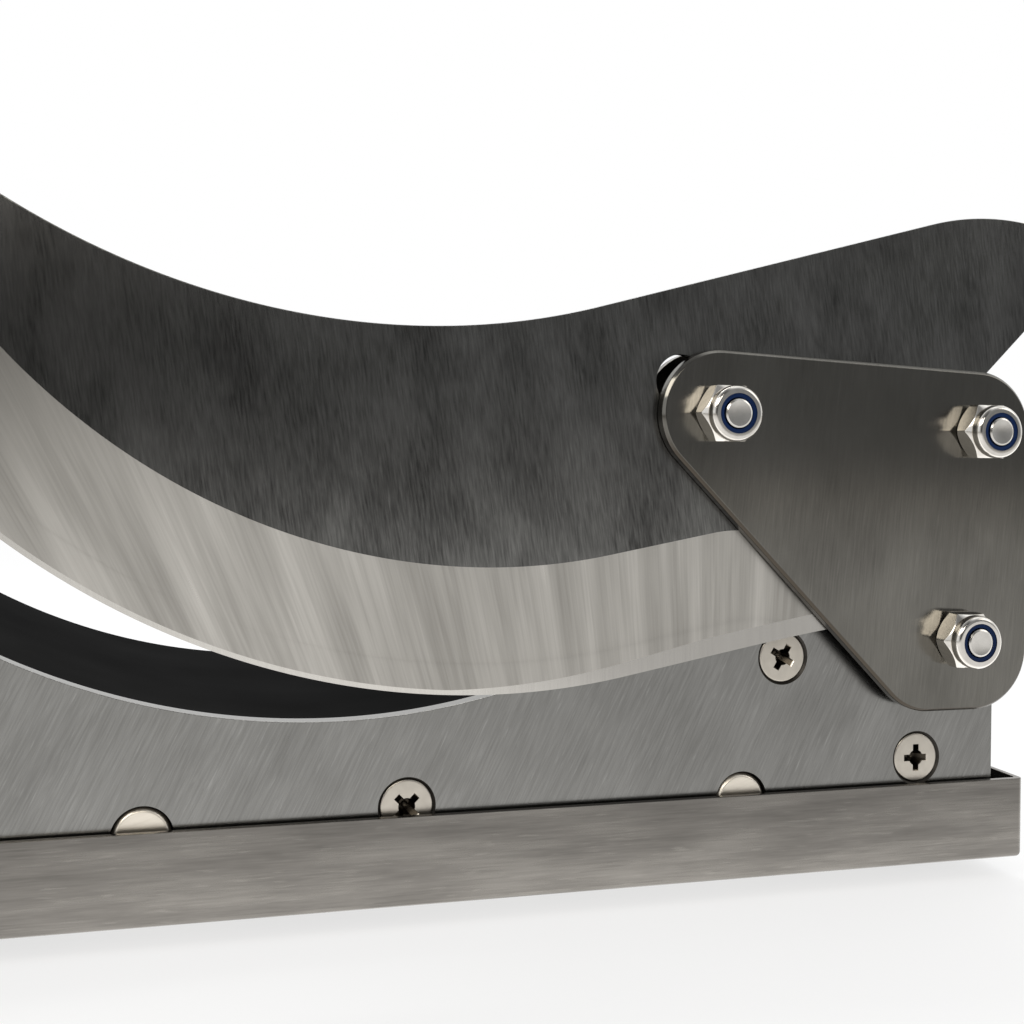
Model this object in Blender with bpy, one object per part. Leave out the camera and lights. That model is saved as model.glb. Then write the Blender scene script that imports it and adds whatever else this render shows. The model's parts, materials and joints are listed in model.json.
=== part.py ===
"""Lever guillotine for slicing dried meat, at its real size in metres.

A curved blade is clamped between two hinge plates. They swing on one pivot bolt in the lower plate, a fixed
steel plate with a curved notch that stands in a folded tray in front of a plastic feed block.
+X runs along the tray towards the hinge, +Y runs away from the side where slices fall, and +Z is up.
The origin is the middle of the tray's flat underside. The arm is drawn a little open, as after a cut.
"""

from math import acos, atan2, cos, hypot, pi, radians, sin, sqrt

import bmesh
import bpy
from mathutils import Vector

# Running and seating gap between two faces that touch on the real object
GAP = 0.0003

# Tray, folded from sheet
TRAY_LENGTH = 0.300
TRAY_DEPTH = 0.100
LIP_HEIGHT = 0.020
SHEET = 0.0015
BEND_RADIUS = 0.0022
TRAY_CORNER = 0.0012

# Lower plate with its notch, and the feed block behind it
PLATE_THICKNESS = 0.004
PLATE_TO_LIP = 0.001
PLATE_END_ROOM = 0.0063
SHOULDER_HEIGHT = 0.072
NOTCH_RADIUS = 0.1587
NOTCH_FLOOR = 0.0412
NOTCH_FROM_PIVOT = 0.1551
TROUGH_STEP = 0.0005
SHOULDER_ROUND = 0.003
BLOCK_CHAMFER = 0.001

# Pivot, in from the lower plate's right end and up from the tray's underside
PIVOT_INSET = 0.0152
PIVOT_HEIGHT = 0.0567
CLOSED_ANGLE = radians(8)

# Hinge plates, with points measured from the pivot along X and Z
HINGE_THICKNESS = 0.003
HINGE_CORNER = 0.0154
HINGE_CHAMFER = 0.0015
LEFT_CLAMP = (-0.0651, 0.0538)
RIGHT_CLAMP = (0.0051, 0.0508)
HINGE_FOOT_DROP = 0.0030
HINGE_FOOT_LEFT = 0.0088
HINGE_TO_BLOCK = 0.001

# Blade, with points measured from the pivot along X and Z
BLADE_THICKNESS = 0.003
EDGE_RADIUS = 0.1755
EDGE_LOWEST = (-0.1185, -0.0108)
EDGE_RISE = radians(10.8)
EDGE_END = -0.030
SPINE_RADIUS = 0.170
SPINE_LOWEST = (-0.1395, 0.0718)
SPINE_RISE = radians(15.3)
SPINE_RUN = 0.0915
CROWN_RADIUS = 0.0688
CROWN_TURN = radians(23.1)
TAIL_TIP_RADIUS = 0.012
TAIL_CUT_ANGLE = radians(44.5)
TAIL_CUT_FILLET = 0.0015
EYE_RADIUS = 0.0115
SLOT_REACH = 0.0116
BEVEL_WIDTH = 0.029
BEVEL_RUN_OUT = 0.030
BEVEL_LAND = 0.0010
SECOND_BEVEL_NARROW = 0.0012
SECOND_BEVEL_WIDE = 0.0045
EDGE_LAND = 0.0004

# Handle, a full tang between two scales
GRIP_ANGLE = radians(35)
GRIP_START = 0.044
GRIP_LENGTH = 0.122
GRIP_DEPTH = 0.031
GRIP_SWELL = 0.003
GRIP_BEAK = 0.006
SCALE_THICKNESS = 0.009
SCALE_ROUND = 0.0035
SCALE_NOSE = 0.004
RIVET_RADIUS = 0.004
RIVET_PROUD = 0.0004
RIVET_COUNT = 3
RIVET_END_INSET = 0.020

# Hinge bolts and nuts, M8
BOLT_RADIUS = 0.0039
HEX_FLATS = 0.013
HEAD_HEIGHT = 0.0053
NUT_HEX_HEIGHT = 0.0052
NUT_HEIGHT = 0.008
NUT_COLLAR_RADIUS = 0.0064
NUT_COLLAR_MOUTH = 0.0050
INSERT_HEIGHT = 0.0022
INSERT_RIM = 0.0002
BOLT_STANDS_OUT = 0.0002
WASHER_RADIUS = 0.008
WASHER_THICKNESS = 0.0016
BUSH_RADIUS = 0.006
BUSH_FLANGE_RADIUS = 0.009

# Countersunk screws and plain pins of the lower plate
SCREW_RADIUS = 0.003
SCREW_HEAD_RADIUS = 0.0062
SCREW_HEAD_RIM = 0.0003
SCREW_LENGTH = 0.020
PIN_RADIUS = 0.0063
PIN_LENGTH = 0.016
PIN_CHAMFER = 0.0008
END_SCREW_INSET = 0.022
END_SCREW_HEIGHT = 0.026
NOTCH_SCREW_OFFSET = 0.0176
NOTCH_SCREW_HEIGHT = 0.0215
HINGE_SCREW_BACK = 0.0444
SHOULDER_SCREW_DROP = 0.0046
SHOULDER_SCREW_INSET = 0.0132
PIN_SPREAD = 0.070
PIN_OFFSET = 0.002
PIN_HEIGHT = 0.0184

# Feet and the screws that hold foot, tray and block together, M5
FOOT_INSET_X = 0.025
FOOT_INSET_Y = 0.025
FOOT_HEIGHT = 0.005
FOOT_TOP_RADIUS = 0.011
FOOT_BASE_RADIUS = 0.0095
FOOT_RECESS_RADIUS = 0.006
FOOT_RECESS_DEPTH = 0.003
FOOT_SCREW_RADIUS = 0.0024
FOOT_SCREW_HEAD_RADIUS = 0.0045
FOOT_SCREW_HEAD_HEIGHT = 0.002
FOOT_SCREW_BITE = 0.014

# Places that follow from the sizes above
TRAY_FRONT = -TRAY_DEPTH / 2
PLATE_FRONT = TRAY_FRONT + SHEET + PLATE_TO_LIP
PLATE_BACK = PLATE_FRONT + PLATE_THICKNESS
PLATE_BOTTOM = SHEET + GAP
PLATE_END = TRAY_LENGTH / 2 - SHEET - PLATE_END_ROOM
PIVOT = Vector((PLATE_END - PIVOT_INSET, 0, PIVOT_HEIGHT))
NOTCH_X = PIVOT.x - NOTCH_FROM_PIVOT
BLADE_BACK = PLATE_FRONT - GAP
BLADE_FRONT = BLADE_BACK - BLADE_THICKNESS
FRONT_HINGE_BACK = BLADE_FRONT - GAP
FRONT_HINGE_FACE = FRONT_HINGE_BACK - HINGE_THICKNESS
REAR_HINGE_FRONT = PLATE_BACK + GAP
REAR_HINGE_FACE = REAR_HINGE_FRONT + HINGE_THICKNESS
BLOCK_FRONT = PLATE_BACK + GAP
BLOCK_BACK = TRAY_DEPTH / 2 - SHEET - GAP
HEAD_FACE = REAR_HINGE_FACE + GAP + WASHER_THICKNESS + GAP
NUT_FACE = FRONT_HINGE_FACE - GAP
HOLE_RADIUS = BOLT_RADIUS + GAP
BUSH_HOLE_RADIUS = BUSH_RADIUS + GAP
HINGE_FOOT_RIGHT = (RIGHT_CLAMP[0], -HINGE_FOOT_DROP)
HINGE_FOOT = (-HINGE_FOOT_LEFT, -HINGE_FOOT_DROP)
CLAMPS = (LEFT_CLAMP, RIGHT_CLAMP)
HINGE_BOLTS = ((0.0, 0.0), LEFT_CLAMP, RIGHT_CLAMP)


def clear_scene():
    for obj in list(bpy.data.objects):
        bpy.data.objects.remove(obj, do_unlink=True)


def material(name, colour, roughness, metallic):
    made = bpy.data.materials.new(name)
    made.use_nodes = True
    shader = made.node_tree.nodes["Principled BSDF"]
    shader.inputs["Base Color"].default_value = (*colour, 1.0)
    shader.inputs["Roughness"].default_value = roughness
    shader.inputs["Metallic"].default_value = metallic
    return made


def place(name, bm, look, parent=None, at=(0, 0, 0)):
    """Turns a bmesh into a named object, at a point of its parent."""
    mesh = bpy.data.meshes.new(name)
    bmesh.ops.recalc_face_normals(bm, faces=bm.faces)
    bm.to_mesh(mesh)
    bm.free()
    return place_mesh(name, mesh, look, parent, at)


def place_mesh(name, mesh, look, parent=None, at=(0, 0, 0)):
    if not mesh.materials:
        mesh.materials.append(look)
    mesh.shade_smooth()
    mesh.set_sharp_from_angle(angle=radians(32))
    obj = bpy.data.objects.new(name, mesh)
    bpy.context.collection.objects.link(obj)
    obj.parent = parent
    obj.location = at
    return obj


def cut(target, cutter, operation="DIFFERENCE"):
    """Cuts or joins one object with another, which stays behind as a hidden guide."""
    cutter.hide_render = True
    cutter.display_type = "WIRE"
    boolean = target.modifiers.new(cutter.name, "BOOLEAN")
    boolean.object = cutter
    boolean.operation = operation
    boolean.solver = "EXACT"
    return target


def finished_mesh(obj, name):
    """The object's mesh with its modifiers applied. The object and its guides are removed."""
    bpy.context.view_layer.update()
    evaluated = obj.evaluated_get(bpy.context.evaluated_depsgraph_get())
    mesh = bpy.data.meshes.new_from_object(evaluated)
    mesh.name = name
    for guide in [modifier.object for modifier in obj.modifiers] + [obj]:
        bpy.data.objects.remove(guide, do_unlink=True)
    return mesh


def arc(centre, radius, start, end, steps):
    """Points on a circle in the X-Z plane, both ends included."""
    turn = (end - start) / steps
    return [
        (centre[0] + radius * cos(start + turn * i), centre[1] + radius * sin(start + turn * i))
        for i in range(steps + 1)
    ]


def along(point, direction, distance):
    return (point[0] + direction[0] * distance, point[1] + direction[1] * distance)


def line_to_circle(point, direction, centre, radius):
    """The two distances along a line, lower first, at which it crosses a circle."""
    back = (point[0] - centre[0], point[1] - centre[1])
    half = back[0] * direction[0] + back[1] * direction[1]
    root = sqrt(half * half - back[0] ** 2 - back[1] ** 2 + radius * radius)
    return -half - root, -half + root


def slab(outline, front, back, rounding=0.0, segments=1, corners=0.0, rounded_back=True):
    """A plate with its outline in X and Z and its faces square to Y.

    corners rounds its sharp upright corners, and rounding its front and, if asked, its back rim.
    """
    bm = bmesh.new()
    face = bm.faces.new([bm.verts.new((x, front, z)) for x, z in outline])
    moved = bmesh.ops.extrude_face_region(bm, geom=[face])["geom"]
    verts = [item for item in moved if isinstance(item, bmesh.types.BMVert)]
    bmesh.ops.translate(bm, verts=verts, vec=(0, back - front, 0))
    bmesh.ops.recalc_face_normals(bm, faces=bm.faces)
    if corners:
        sharp = [e for e in bm.edges if runs_through(e) and abs(e.calc_face_angle_signed()) > radians(30)]
        bmesh.ops.bevel(bm, geom=sharp, offset=corners, segments=3, profile=0.5, affect="EDGES")
    if rounding:
        levels = (front, back) if rounded_back else (front,)
        rims = [e for e in bm.edges if not runs_through(e) and near_level(e, levels) and is_rim(e)]
        bmesh.ops.bevel(bm, geom=rims, offset=rounding, segments=segments, profile=0.5, affect="EDGES")
    return bm


def runs_through(edge):
    first, second = (v.co for v in edge.verts)
    return abs(first.y - second.y) > 1e-6


def near_level(edge, levels):
    return any(abs(edge.verts[0].co.y - level) < 1e-6 for level in levels)


def is_rim(edge):
    return len(edge.link_faces) == 2 and edge.calc_face_angle() > radians(60)


def turned(profile, steps=24, upright=False):
    """A solid of revolution about Y, or about Z when upright, from points of radius and place on the axis."""
    bm = bmesh.new()
    spots = [(r, 0, a) if upright else (r, a, 0) for r, a in profile]
    verts = [bm.verts.new(spot) for spot in spots]
    edges = [bm.edges.new(pair) for pair in zip(verts, verts[1:])]
    if profile[0][0] > 0:
        edges.append(bm.edges.new((verts[-1], verts[0])))
    axis = (0, 0, 1) if upright else (0, 1, 0)
    geometry = verts + edges
    bmesh.ops.spin(bm, geom=geometry, cent=(0, 0, 0), axis=axis, angle=2 * pi, steps=steps)
    bmesh.ops.remove_doubles(bm, verts=bm.verts, dist=1e-6)
    bmesh.ops.recalc_face_normals(bm, faces=bm.faces)
    return bm


def ring_profile(inner, outer, low, high, chamfer=0.0):
    return [
        (inner, low),
        (outer - chamfer, low),
        (outer, low + chamfer),
        (outer, high - chamfer),
        (outer - chamfer, high),
        (inner, high),
    ] if chamfer else [(inner, low), (outer, low), (outer, high), (inner, high)]


def through_hole(name, radius, front, back, at, parent=None, upright=False, steps=24):
    """A round cutter that runs 1 mm past both faces."""
    reach = 0.001
    profile = [(0, front - reach), (radius, front - reach), (radius, back + reach), (0, back + reach)]
    return place(name, turned(profile, steps, upright), guide_look, parent, at)


def hull_of_circles(centres, radius, steps):
    """The outline round equal circles whose centres are given anticlockwise."""
    outline = []
    count = len(centres)
    for i, centre in enumerate(centres):
        before, after = centres[i - 1], centres[(i + 1) % count]
        start = atan2(centre[1] - before[1], centre[0] - before[0]) - pi / 2
        end = atan2(after[1] - centre[1], after[0] - centre[0]) - pi / 2
        while end < start:
            end += 2 * pi
        outline += arc(centre, radius, start, end, steps)
    return outline


def base_tray():
    """Folded tray: a box with rolled lower bends, hollowed from above by a smaller box."""
    outer = tray_box(0.0, LIP_HEIGHT, 0.0, BEND_RADIUS, TRAY_CORNER)
    tray = place("base_tray", outer, tray_look)
    room = tray_box(SHEET, LIP_HEIGHT + SHEET, SHEET, BEND_RADIUS - SHEET, 0.0)
    cut(tray, place("tray_room", room, guide_look))
    for i, (x, y) in enumerate(foot_places()):
        hole = FOOT_SCREW_RADIUS + GAP
        cut(tray, through_hole(f"tray_hole_{i + 1}", hole, 0, SHEET, (x, y, 0), upright=True, steps=16))


def tray_box(inset, top, bottom, bend, corner):
    """A box the size of the tray less an inset all round, with its lower and upright edges rounded."""
    half = Vector((TRAY_LENGTH / 2 - inset, TRAY_DEPTH / 2 - inset, 0))
    bm = bmesh.new()
    bmesh.ops.create_cube(bm, size=1)
    for v in bm.verts:
        v.co = (2 * half.x * v.co.x, 2 * half.y * v.co.y, top if v.co.z > 0 else bottom)
    lower = [e for e in bm.edges if all(abs(v.co.z - bottom) < 1e-9 for v in e.verts)]
    bmesh.ops.bevel(bm, geom=lower, offset=bend, segments=3, profile=0.5, affect="EDGES")
    if corner:
        upright = [e for e in bm.edges if is_tray_corner(e, half, top)]
        bmesh.ops.bevel(bm, geom=upright, offset=corner, segments=2, profile=0.5, affect="EDGES")
    return bm


def is_tray_corner(edge, half, top):
    first, second = (v.co for v in edge.verts)
    at_corner = abs(abs(first.x) - half.x) < 1e-6 and abs(abs(first.y) - half.y) < 1e-6
    return at_corner and abs(first.z - second.z) > top / 2


def foot_places():
    x, y = TRAY_LENGTH / 2 - FOOT_INSET_X, TRAY_DEPTH / 2 - FOOT_INSET_Y
    return [(sx * x, sy * y) for sy in (-1, 1) for sx in (-1, 1)]


def notch_arc(drop, right):
    """The notch from its left shoulder to a point at the given X, lowered by drop."""
    centre = (NOTCH_X, NOTCH_FLOOR - drop + NOTCH_RADIUS)
    start = -pi / 2 - acos((centre[1] - SHOULDER_HEIGHT) / NOTCH_RADIUS)
    end = -pi / 2 + atan2(right - centre[0], sqrt(NOTCH_RADIUS**2 - (right - centre[0]) ** 2))
    return arc(centre, NOTCH_RADIUS, start, end, 44)


def lower_plate():
    """Fixed cutting plate: shoulders at both ends, a circular notch, countersunk holes and the pivot hole."""
    half_notch = sqrt(NOTCH_RADIUS**2 - (NOTCH_FLOOR + NOTCH_RADIUS - SHOULDER_HEIGHT) ** 2)
    outline = [(-PLATE_END, SHOULDER_HEIGHT), (-PLATE_END, PLATE_BOTTOM)]
    outline += [(PLATE_END, PLATE_BOTTOM), (PLATE_END, SHOULDER_HEIGHT)]
    outline += reversed(notch_arc(0.0, NOTCH_X + half_notch))
    bm = slab(outline, PLATE_FRONT, PLATE_BACK, rounding=GAP, corners=SHOULDER_ROUND)
    plate = place("lower_plate", bm, plate_look)
    for i, (x, z) in enumerate(screw_places()):
        cut(plate, countersink(f"countersink_{i + 1}", (x, 0, z)))
    for i, (x, z) in enumerate(pin_places()):
        hole = PIN_RADIUS + GAP
        cut(plate, through_hole(f"pin_hole_{i + 1}", hole, PLATE_FRONT, PLATE_BACK, (x, 0, z)))
    cut(plate, through_hole("pivot_hole", HOLE_RADIUS, PLATE_FRONT, PLATE_BACK, PIVOT))


def screw_places():
    """Centres of the plate screws: right end, by the hinge, under the notch, left end and left shoulder."""
    shoulder = PIVOT.z - SHOULDER_SCREW_DROP
    return [
        (PLATE_END - END_SCREW_INSET, END_SCREW_HEIGHT),
        (PIVOT.x - HINGE_SCREW_BACK, shoulder),
        (NOTCH_X + NOTCH_SCREW_OFFSET, NOTCH_SCREW_HEIGHT),
        (END_SCREW_INSET - PLATE_END, END_SCREW_HEIGHT),
        (SHOULDER_SCREW_INSET - PLATE_END, shoulder),
    ]


def pin_places():
    return [(PIN_OFFSET - PIN_SPREAD, PIN_HEIGHT), (PIN_OFFSET + PIN_SPREAD, PIN_HEIGHT)]


def countersink(name, at):
    """Cone and hole for one screw, each a gap wider than the screw."""
    mouth = SCREW_HEAD_RADIUS + GAP + GAP / 2
    hole = SCREW_RADIUS + GAP
    profile = [(0, PLATE_FRONT - GAP), (mouth + GAP, PLATE_FRONT - GAP)]
    profile += [(hole, PLATE_FRONT + mouth - hole), (hole, PLATE_BACK + GAP), (0, PLATE_BACK + GAP)]
    return place(name, turned(profile), guide_look, at=at)


def plate_screws():
    """Countersunk screws, flush with the lower plate, that pull it against the block."""
    tip = PLATE_FRONT + SCREW_LENGTH
    flat = PLATE_FRONT + GAP / 2
    cone = SCREW_HEAD_RADIUS - SCREW_RADIUS
    rim = flat + SCREW_HEAD_RIM
    profile = [(0, flat), (SCREW_HEAD_RADIUS - SCREW_HEAD_RIM, flat), (SCREW_HEAD_RADIUS, rim)]
    profile += [(SCREW_RADIUS, rim + cone), (SCREW_RADIUS, tip - GAP), (0, tip)]
    for i, (x, z) in enumerate(screw_places()):
        place(f"plate_screw_{i + 1}", turned(profile), bright_look, at=(x, 0, z))


def locating_pins():
    """Plain ground pins through the lower plate into the block, which take the thrust of the cut."""
    front, back = PLATE_FRONT + GAP / 2, PLATE_FRONT + PIN_LENGTH
    edge = PIN_RADIUS - PIN_CHAMFER
    profile = [(0, front), (edge, front), (PIN_RADIUS, front + PIN_CHAMFER)]
    profile += [(PIN_RADIUS, back - PIN_CHAMFER), (edge, back), (0, back)]
    for i, (x, z) in enumerate(pin_places()):
        place(f"locating_pin_{i + 1}", turned(profile), bright_look, at=(x, 0, z))


def hinge_slope_line():
    """A point and a direction of the line that the hinge plates' long edge reaches when the blade is closed.

    The line lies HINGE_TO_BLOCK outside that edge, and its direction runs up towards the notch.
    """
    run = (HINGE_FOOT[0] - LEFT_CLAMP[0], HINGE_FOOT[1] - LEFT_CLAMP[1])
    length = hypot(*run)
    normal = (run[1] / length, -run[0] / length)
    reach = LEFT_CLAMP[0] * normal[0] + LEFT_CLAMP[1] * normal[1] + HINGE_CORNER + HINGE_TO_BLOCK
    turned_normal = (
        normal[0] * cos(CLOSED_ANGLE) - normal[1] * sin(CLOSED_ANGLE),
        normal[0] * sin(CLOSED_ANGLE) + normal[1] * cos(CLOSED_ANGLE),
    )
    point = along((PIVOT.x, PIVOT.z), turned_normal, reach)
    return point, (turned_normal[1], -turned_normal[0])


def feed_block():
    """Plastic block: a trough that follows the notch, and a low step that clears the swinging hinge."""
    sweep = hypot(*HINGE_FOOT) + HINGE_CORNER
    step = PIVOT.z - sweep - HINGE_TO_BLOCK
    point, direction = hinge_slope_line()
    foot = along(point, direction, (step - point[1]) / direction[1])
    centre = (NOTCH_X, NOTCH_FLOOR - TROUGH_STEP + NOTCH_RADIUS)
    ridge = along(point, direction, line_to_circle(point, direction, centre, NOTCH_RADIUS)[0])
    outline = [(-PLATE_END, SHOULDER_HEIGHT), (-PLATE_END, PLATE_BOTTOM)]
    outline += [(PLATE_END, PLATE_BOTTOM), (PLATE_END, step), foot]
    outline += reversed(notch_arc(TROUGH_STEP, ridge[0]))
    bm = slab(outline, BLOCK_FRONT, BLOCK_BACK, rounding=BLOCK_CHAMFER, corners=SHOULDER_ROUND)
    block = place("feed_block", bm, block_look)
    for i, (x, z) in enumerate(screw_places()):
        depth = PLATE_FRONT + SCREW_LENGTH + GAP
        cut(block, blind_hole(f"screw_bore_{i + 1}", SCREW_RADIUS + GAP, BLOCK_FRONT, depth, (x, 0, z)))
    for i, (x, z) in enumerate(pin_places()):
        depth = PLATE_FRONT + PIN_LENGTH + GAP
        cut(block, blind_hole(f"pin_bore_{i + 1}", PIN_RADIUS + GAP, BLOCK_FRONT, depth, (x, 0, z)))
    for i, (x, y) in enumerate(foot_places()):
        top = SHEET + FOOT_SCREW_BITE + GAP
        bore = blind_hole(f"foot_bore_{i + 1}", FOOT_SCREW_RADIUS + GAP, SHEET, top, (x, y, 0), upright=True)
        cut(block, bore)


def blind_hole(name, radius, mouth, end, at, upright=False):
    """A round cutter from just outside the mouth to the end of the hole."""
    start = mouth - 0.001
    profile = [(0, start), (radius, start), (radius, end), (0, end)]
    return place(name, turned(profile, 16, upright), guide_look, at=at)


def feet():
    """Rubber feet with a recess for the screw's head."""
    top, base = -GAP, -GAP - FOOT_HEIGHT
    floor = base + FOOT_RECESS_DEPTH
    hole = FOOT_SCREW_RADIUS + GAP
    profile = [(hole, top), (FOOT_TOP_RADIUS, top), (FOOT_BASE_RADIUS, base)]
    profile += [(FOOT_RECESS_RADIUS, base), (FOOT_RECESS_RADIUS, floor), (hole, floor)]
    for i, (x, y) in enumerate(foot_places()):
        place(f"foot_{i + 1}", turned(profile, upright=True), rubber_look, at=(x, y, 0))


def foot_screws():
    """Pan-head screws up through foot and tray into the block."""
    seat = -GAP - FOOT_HEIGHT + FOOT_RECESS_DEPTH - GAP
    face = seat - FOOT_SCREW_HEAD_HEIGHT
    edge = FOOT_SCREW_HEAD_RADIUS - GAP
    tip = SHEET + FOOT_SCREW_BITE
    profile = [(0, face), (edge, face), (FOOT_SCREW_HEAD_RADIUS, face + GAP), (FOOT_SCREW_HEAD_RADIUS, seat)]
    profile += [(FOOT_SCREW_RADIUS, seat), (FOOT_SCREW_RADIUS, tip - GAP), (0, tip)]
    for i, (x, y) in enumerate(foot_places()):
        place(f"foot_screw_{i + 1}", turned(profile, 16, upright=True), bright_look, at=(x, y, 0))


def hinge_plate(name, inner, outer):
    """Plate with four equal round corners, two on the clamp bolts, and a chamfer round its outer face."""
    corners = (HINGE_FOOT, HINGE_FOOT_RIGHT, RIGHT_CLAMP, LEFT_CLAMP)
    outline = hull_of_circles(corners, HINGE_CORNER, 8)
    bm = slab(outline, outer, inner, rounding=HINGE_CHAMFER, rounded_back=False)
    plate = place(name, bm, hinge_look, arm)
    low, high = min(inner, outer), max(inner, outer)
    for i, (x, z) in enumerate(HINGE_BOLTS):
        cut(plate, through_hole(f"{name}_hole_{i + 1}", HOLE_RADIUS, low, high, (x, 0, z), arm))


def grip_line(share):
    """Where the grip's upper and lower sides lie at a share of its length, measured from the spine's line."""
    swell = GRIP_SWELL * sin(pi * share)
    beak = GRIP_BEAK * share**8
    return -0.6 * swell, GRIP_DEPTH + swell + beak


def grip_point(distance, depth):
    """A point of the grip, from its distance along the spine's line and its depth below that line."""
    start = spine_points()[-1]
    back = (-cos(GRIP_ANGLE), sin(GRIP_ANGLE))
    down = (-sin(GRIP_ANGLE), -cos(GRIP_ANGLE))
    return along(along(start, back, distance), down, depth)


def grip_curve():
    """The grip's outline from its upper front corner round the pommel to its lower front corner."""
    steps = 12
    shares = [i / steps for i in range(steps + 1)]
    upper = [grip_point(GRIP_START + GRIP_LENGTH * t, grip_line(t)[0]) for t in shares]
    lower = [grip_point(GRIP_START + GRIP_LENGTH * t, grip_line(t)[1]) for t in reversed(shares)]
    top, bottom = grip_line(1.0)
    middle, half = (top + bottom) / 2, (bottom - top) / 2
    cap = []
    for i in range(1, 10):
        angle = pi * i / 10
        bulge = 0.55 * half * sin(angle)
        cap.append(grip_point(GRIP_START + GRIP_LENGTH + bulge, middle - half * cos(angle)))
    return upper + cap + lower


def spine_points():
    """The spine from the start of the straight run back to where the grip's straight line begins."""
    centre = (SPINE_LOWEST[0], SPINE_LOWEST[1] + SPINE_RADIUS)
    return arc(centre, SPINE_RADIUS, -pi / 2 + SPINE_RISE, -pi / 2 - GRIP_ANGLE, 30)


def tail_points():
    """The blade's right end: the eye, the cut above it, the tip and the crown, up to the spine's run."""
    eye = RIGHT_CLAMP
    run_start = spine_points()[0]
    run_end = along(run_start, (cos(SPINE_RISE), sin(SPINE_RISE)), SPINE_RUN)
    crown = along(run_end, (sin(SPINE_RISE), -cos(SPINE_RISE)), CROWN_RADIUS)
    crown_start = pi / 2 + SPINE_RISE - CROWN_TURN
    tip = along(crown, (cos(crown_start), sin(crown_start)), CROWN_RADIUS - TAIL_TIP_RADIUS)
    outward = (sin(TAIL_CUT_ANGLE), -cos(TAIL_CUT_ANGLE))
    inward_run = (-cos(TAIL_CUT_ANGLE), -sin(TAIL_CUT_ANGLE))
    offset = along(tip, outward, TAIL_TIP_RADIUS + TAIL_CUT_FILLET)
    first = line_to_circle(offset, inward_run, eye, EYE_RADIUS + TAIL_CUT_FILLET)[0]
    fillet = along(offset, inward_run, first)
    to_fillet = atan2(fillet[1] - eye[1], fillet[0] - eye[0])
    corner = edge_end_point()
    toward_eye = atan2(eye[1] - corner[1], eye[0] - corner[0])
    distance = hypot(eye[0] - corner[0], eye[1] - corner[1])
    eye_start = toward_eye - acos(sqrt(1 - (EYE_RADIUS / distance) ** 2)) - pi / 2
    points = arc(eye, EYE_RADIUS, eye_start, to_fillet, 18)
    points += arc(fillet, TAIL_CUT_FILLET, to_fillet + pi, pi / 2 + TAIL_CUT_ANGLE, 4)[1:]
    points += arc(tip, TAIL_TIP_RADIUS, TAIL_CUT_ANGLE - pi / 2, crown_start, 14)
    points += arc(crown, CROWN_RADIUS, crown_start, pi / 2 + SPINE_RISE, 10)[1:]
    return points


def edge_centre():
    return (EDGE_LOWEST[0], EDGE_LOWEST[1] + EDGE_RADIUS)


def edge_end_point():
    """Where the straight stretch of the cutting edge ends behind the hinge plate."""
    turn = along(edge_centre(), (sin(EDGE_RISE), -cos(EDGE_RISE)), EDGE_RADIUS)
    return along(turn, (cos(EDGE_RISE), sin(EDGE_RISE)), (EDGE_END - turn[0]) / cos(EDGE_RISE))


def edge_stations(count):
    """Stations along the cutting edge, from the grip to the hinge, closer together at both ends.

    Each is the edge point, the direction into the blade, the distance to the nearer end and the share of the
    length that lies behind it.
    """
    centre = edge_centre()
    heel_line = grip_point(0, GRIP_DEPTH)
    back = (-cos(GRIP_ANGLE), sin(GRIP_ANGLE))
    heel = along(heel_line, back, line_to_circle(heel_line, back, centre, EDGE_RADIUS)[1])
    start = atan2(heel[1] - centre[1], heel[0] - centre[0])
    if start > 0:
        start -= 2 * pi
    arc_length = EDGE_RADIUS * (-pi / 2 + EDGE_RISE - start)
    turn = along(centre, (sin(EDGE_RISE), -cos(EDGE_RISE)), EDGE_RADIUS)
    total = arc_length + (EDGE_END - turn[0]) / cos(EDGE_RISE)
    stations = []
    for i in range(count + 1):
        distance = total * (1 - cos(pi * i / count)) / 2
        if distance < arc_length:
            angle = start + distance / EDGE_RADIUS
            point = along(centre, (cos(angle), sin(angle)), EDGE_RADIUS)
            inward = (-cos(angle), -sin(angle))
        else:
            point = along(turn, (cos(EDGE_RISE), sin(EDGE_RISE)), distance - arc_length)
            inward = (-sin(EDGE_RISE), cos(EDGE_RISE))
        stations.append((point, inward, min(distance, total - distance), distance / total))
    return stations


def bevel_share(distance):
    """How full the ground bevel is at a distance from its end: it runs out as a quarter circle."""
    left = max(0.0, 1 - distance / BEVEL_RUN_OUT)
    return sqrt(1 - left * left)


def second_bevel_width(behind):
    """Width of the narrow bevel on the edge, which widens towards the hinge."""
    grown = min(1.0, max(0.0, (behind - 0.66) / 0.22))
    return SECOND_BEVEL_NARROW + (SECOND_BEVEL_WIDE - SECOND_BEVEL_NARROW) * grown


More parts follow.
